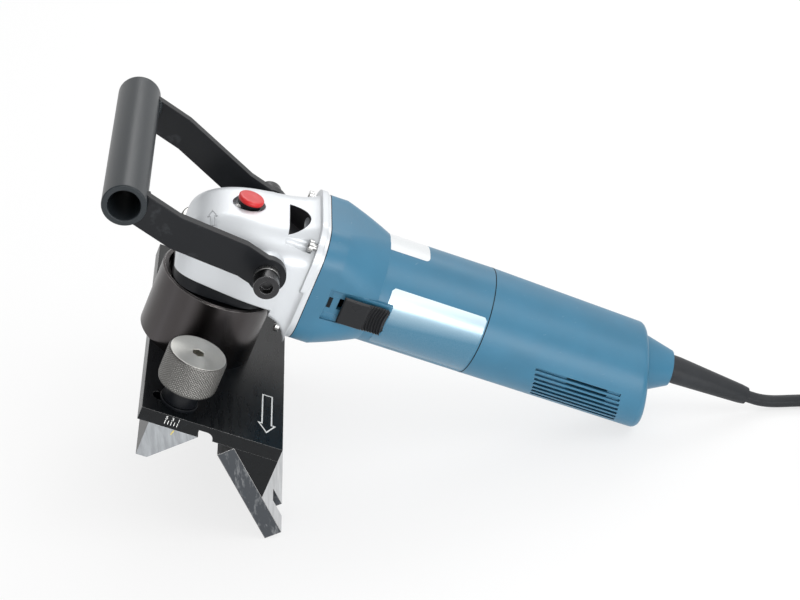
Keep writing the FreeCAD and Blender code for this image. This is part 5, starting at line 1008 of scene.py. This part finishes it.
# ---------------------------------------------------------------- floor and studio light
# A plain pale bench top under the tool, white surroundings, and three large soft boxes.
def pale_floor():
    """A flat sheet that keeps the tool's shadow: half lit by the lamps, half white."""
    corners = np.array([(-4, -4, 0), (4, -4, 0), (4, 4, 0), (-4, 4, 0)]) + (0, 0, -0.0006)
    mesh = bpy.data.meshes.new("floor")
    mesh.from_pydata(corners.tolist(), [], [(0, 1, 2, 3)])
    floor = placed("floor", mesh)
    made, tree, shader, _ = finish_base("pale floor")
    shader.inputs["Base Color"].default_value = (0.9, 0.9, 0.9, 1)
    shader.inputs["Roughness"].default_value = 0.9
    white = shader_node(tree, "ShaderNodeEmission", Strength=1.0)
    ray = tree.nodes.new("ShaderNodeLightPath")
    seen = sum_up(tree, "MAXIMUM", ray.outputs["Is Camera Ray"],
                  sum_up(tree, "MAXIMUM", ray.outputs["Is Glossy Ray"],
                         ray.outputs["Is Transmission Ray"]))
    join = tree.nodes.new("ShaderNodeMixShader")
    tree.links.new(sum_up(tree, "MULTIPLY", seen, 0.72), join.inputs[0])
    tree.links.new(shader.outputs[0], join.inputs[1])
    tree.links.new(white.outputs[0], join.inputs[2])
    tree.links.new(join.outputs[0], tree.nodes["Material Output"].inputs["Surface"])
    mesh.materials.append(made)


def studio_world():
    """Even surroundings: brighter above and behind, white where seen or mirrored there."""
    world = bpy.data.worlds.new("studio")
    bpy.context.scene.world = world
    world.use_nodes = True
    tree = world.node_tree
    tree.nodes.clear()
    ray = tree.nodes.new("ShaderNodeLightPath")
    place = tree.nodes.new("ShaderNodeTexCoord")
    share = vector_step(tree, "DOT_PRODUCT", place.outputs["Generated"], (0.12, 0.32, 0.38))
    height = sum_up(tree, "ADD", share, 0.5)
    room = ramp(tree, height, [(0.1, 0.3), (0.5, 0.75), (0.75, 1.0)])
    lit = shader_node(tree, "ShaderNodeBackground", Strength=0.9)
    tree.links.new(room, lit.inputs["Color"])
    seen = shader_node(tree, "ShaderNodeBackground", Strength=1.0)
    seen.inputs["Color"].default_value = (1, 1, 1, 1)
    behind = sum_up(tree, "GREATER_THAN", height, 0.6)
    mirrored = sum_up(tree, "MAXIMUM", ray.outputs["Is Glossy Ray"],
                      ray.outputs["Is Transmission Ray"])
    white = sum_up(tree, "MAXIMUM", ray.outputs["Is Camera Ray"],
                   sum_up(tree, "MULTIPLY", mirrored, behind))
    join = tree.nodes.new("ShaderNodeMixShader")
    tree.links.new(white, join.inputs[0])
    tree.links.new(lit.outputs[0], join.inputs[1])
    tree.links.new(seen.outputs[0], join.inputs[2])
    out = tree.nodes.new("ShaderNodeOutputWorld")
    tree.links.new(join.outputs[0], out.inputs["Surface"])


def soft_box(name, place, size, power):
    """A large soft lamp at a place of the row, aimed at the tool."""
    lamp = bpy.data.lights.new(name, "AREA")
    lamp.shape = "RECTANGLE"
    lamp.size, lamp.size_y = size
    lamp.energy = power
    thing = placed(name, lamp)
    thing.location = place
    aim = Vector((0, 0, 0.12)) - Vector(place)
    thing.rotation_euler = aim.to_track_quat("-Z", "Y").to_euler()


pale_floor()
studio_world()
soft_box("key", (0.75, -0.5, 1.1), (0.7, 0.5), 4)
soft_box("front", (0.2, -1.1, 0.12), (1.2, 0.22), 7)
soft_box("back", (0.3, 0.9, 0.9), (0.9, 0.3), 4)


# ---------------------------------------------------------------- camera
# A long lens in front of the tool's switch side, looking down on it, a little turned.
CAMERA_PLACE = (-211.09, -1325.39, 700.45)
CAMERA_RIGHT = (0.93092, -0.02484, 0.36438)
CAMERA_UP = (-0.30403, 0.50013, 0.81083)

lens = bpy.data.cameras.new("camera")
lens.sensor_width = 36.0
lens.lens = 108.84
lens.shift_x, lens.shift_y = 0.02385, -0.01231
lens.clip_start = 0.05
camera = placed("camera", lens)
tool_turn = TOOL.to_3x3().normalized()
camera_right = (tool_turn @ Vector(CAMERA_RIGHT)).normalized()
camera_back = camera_right.cross(tool_turn @ Vector(CAMERA_UP)).normalized()
pose = Matrix((camera_right, camera_back.cross(camera_right), camera_back)).transposed().to_4x4()
pose.translation = TOOL @ Vector(CAMERA_PLACE)
camera.matrix_world = pose
bpy.context.scene.camera = camera
bpy.context.scene.view_settings.view_transform = "Standard"
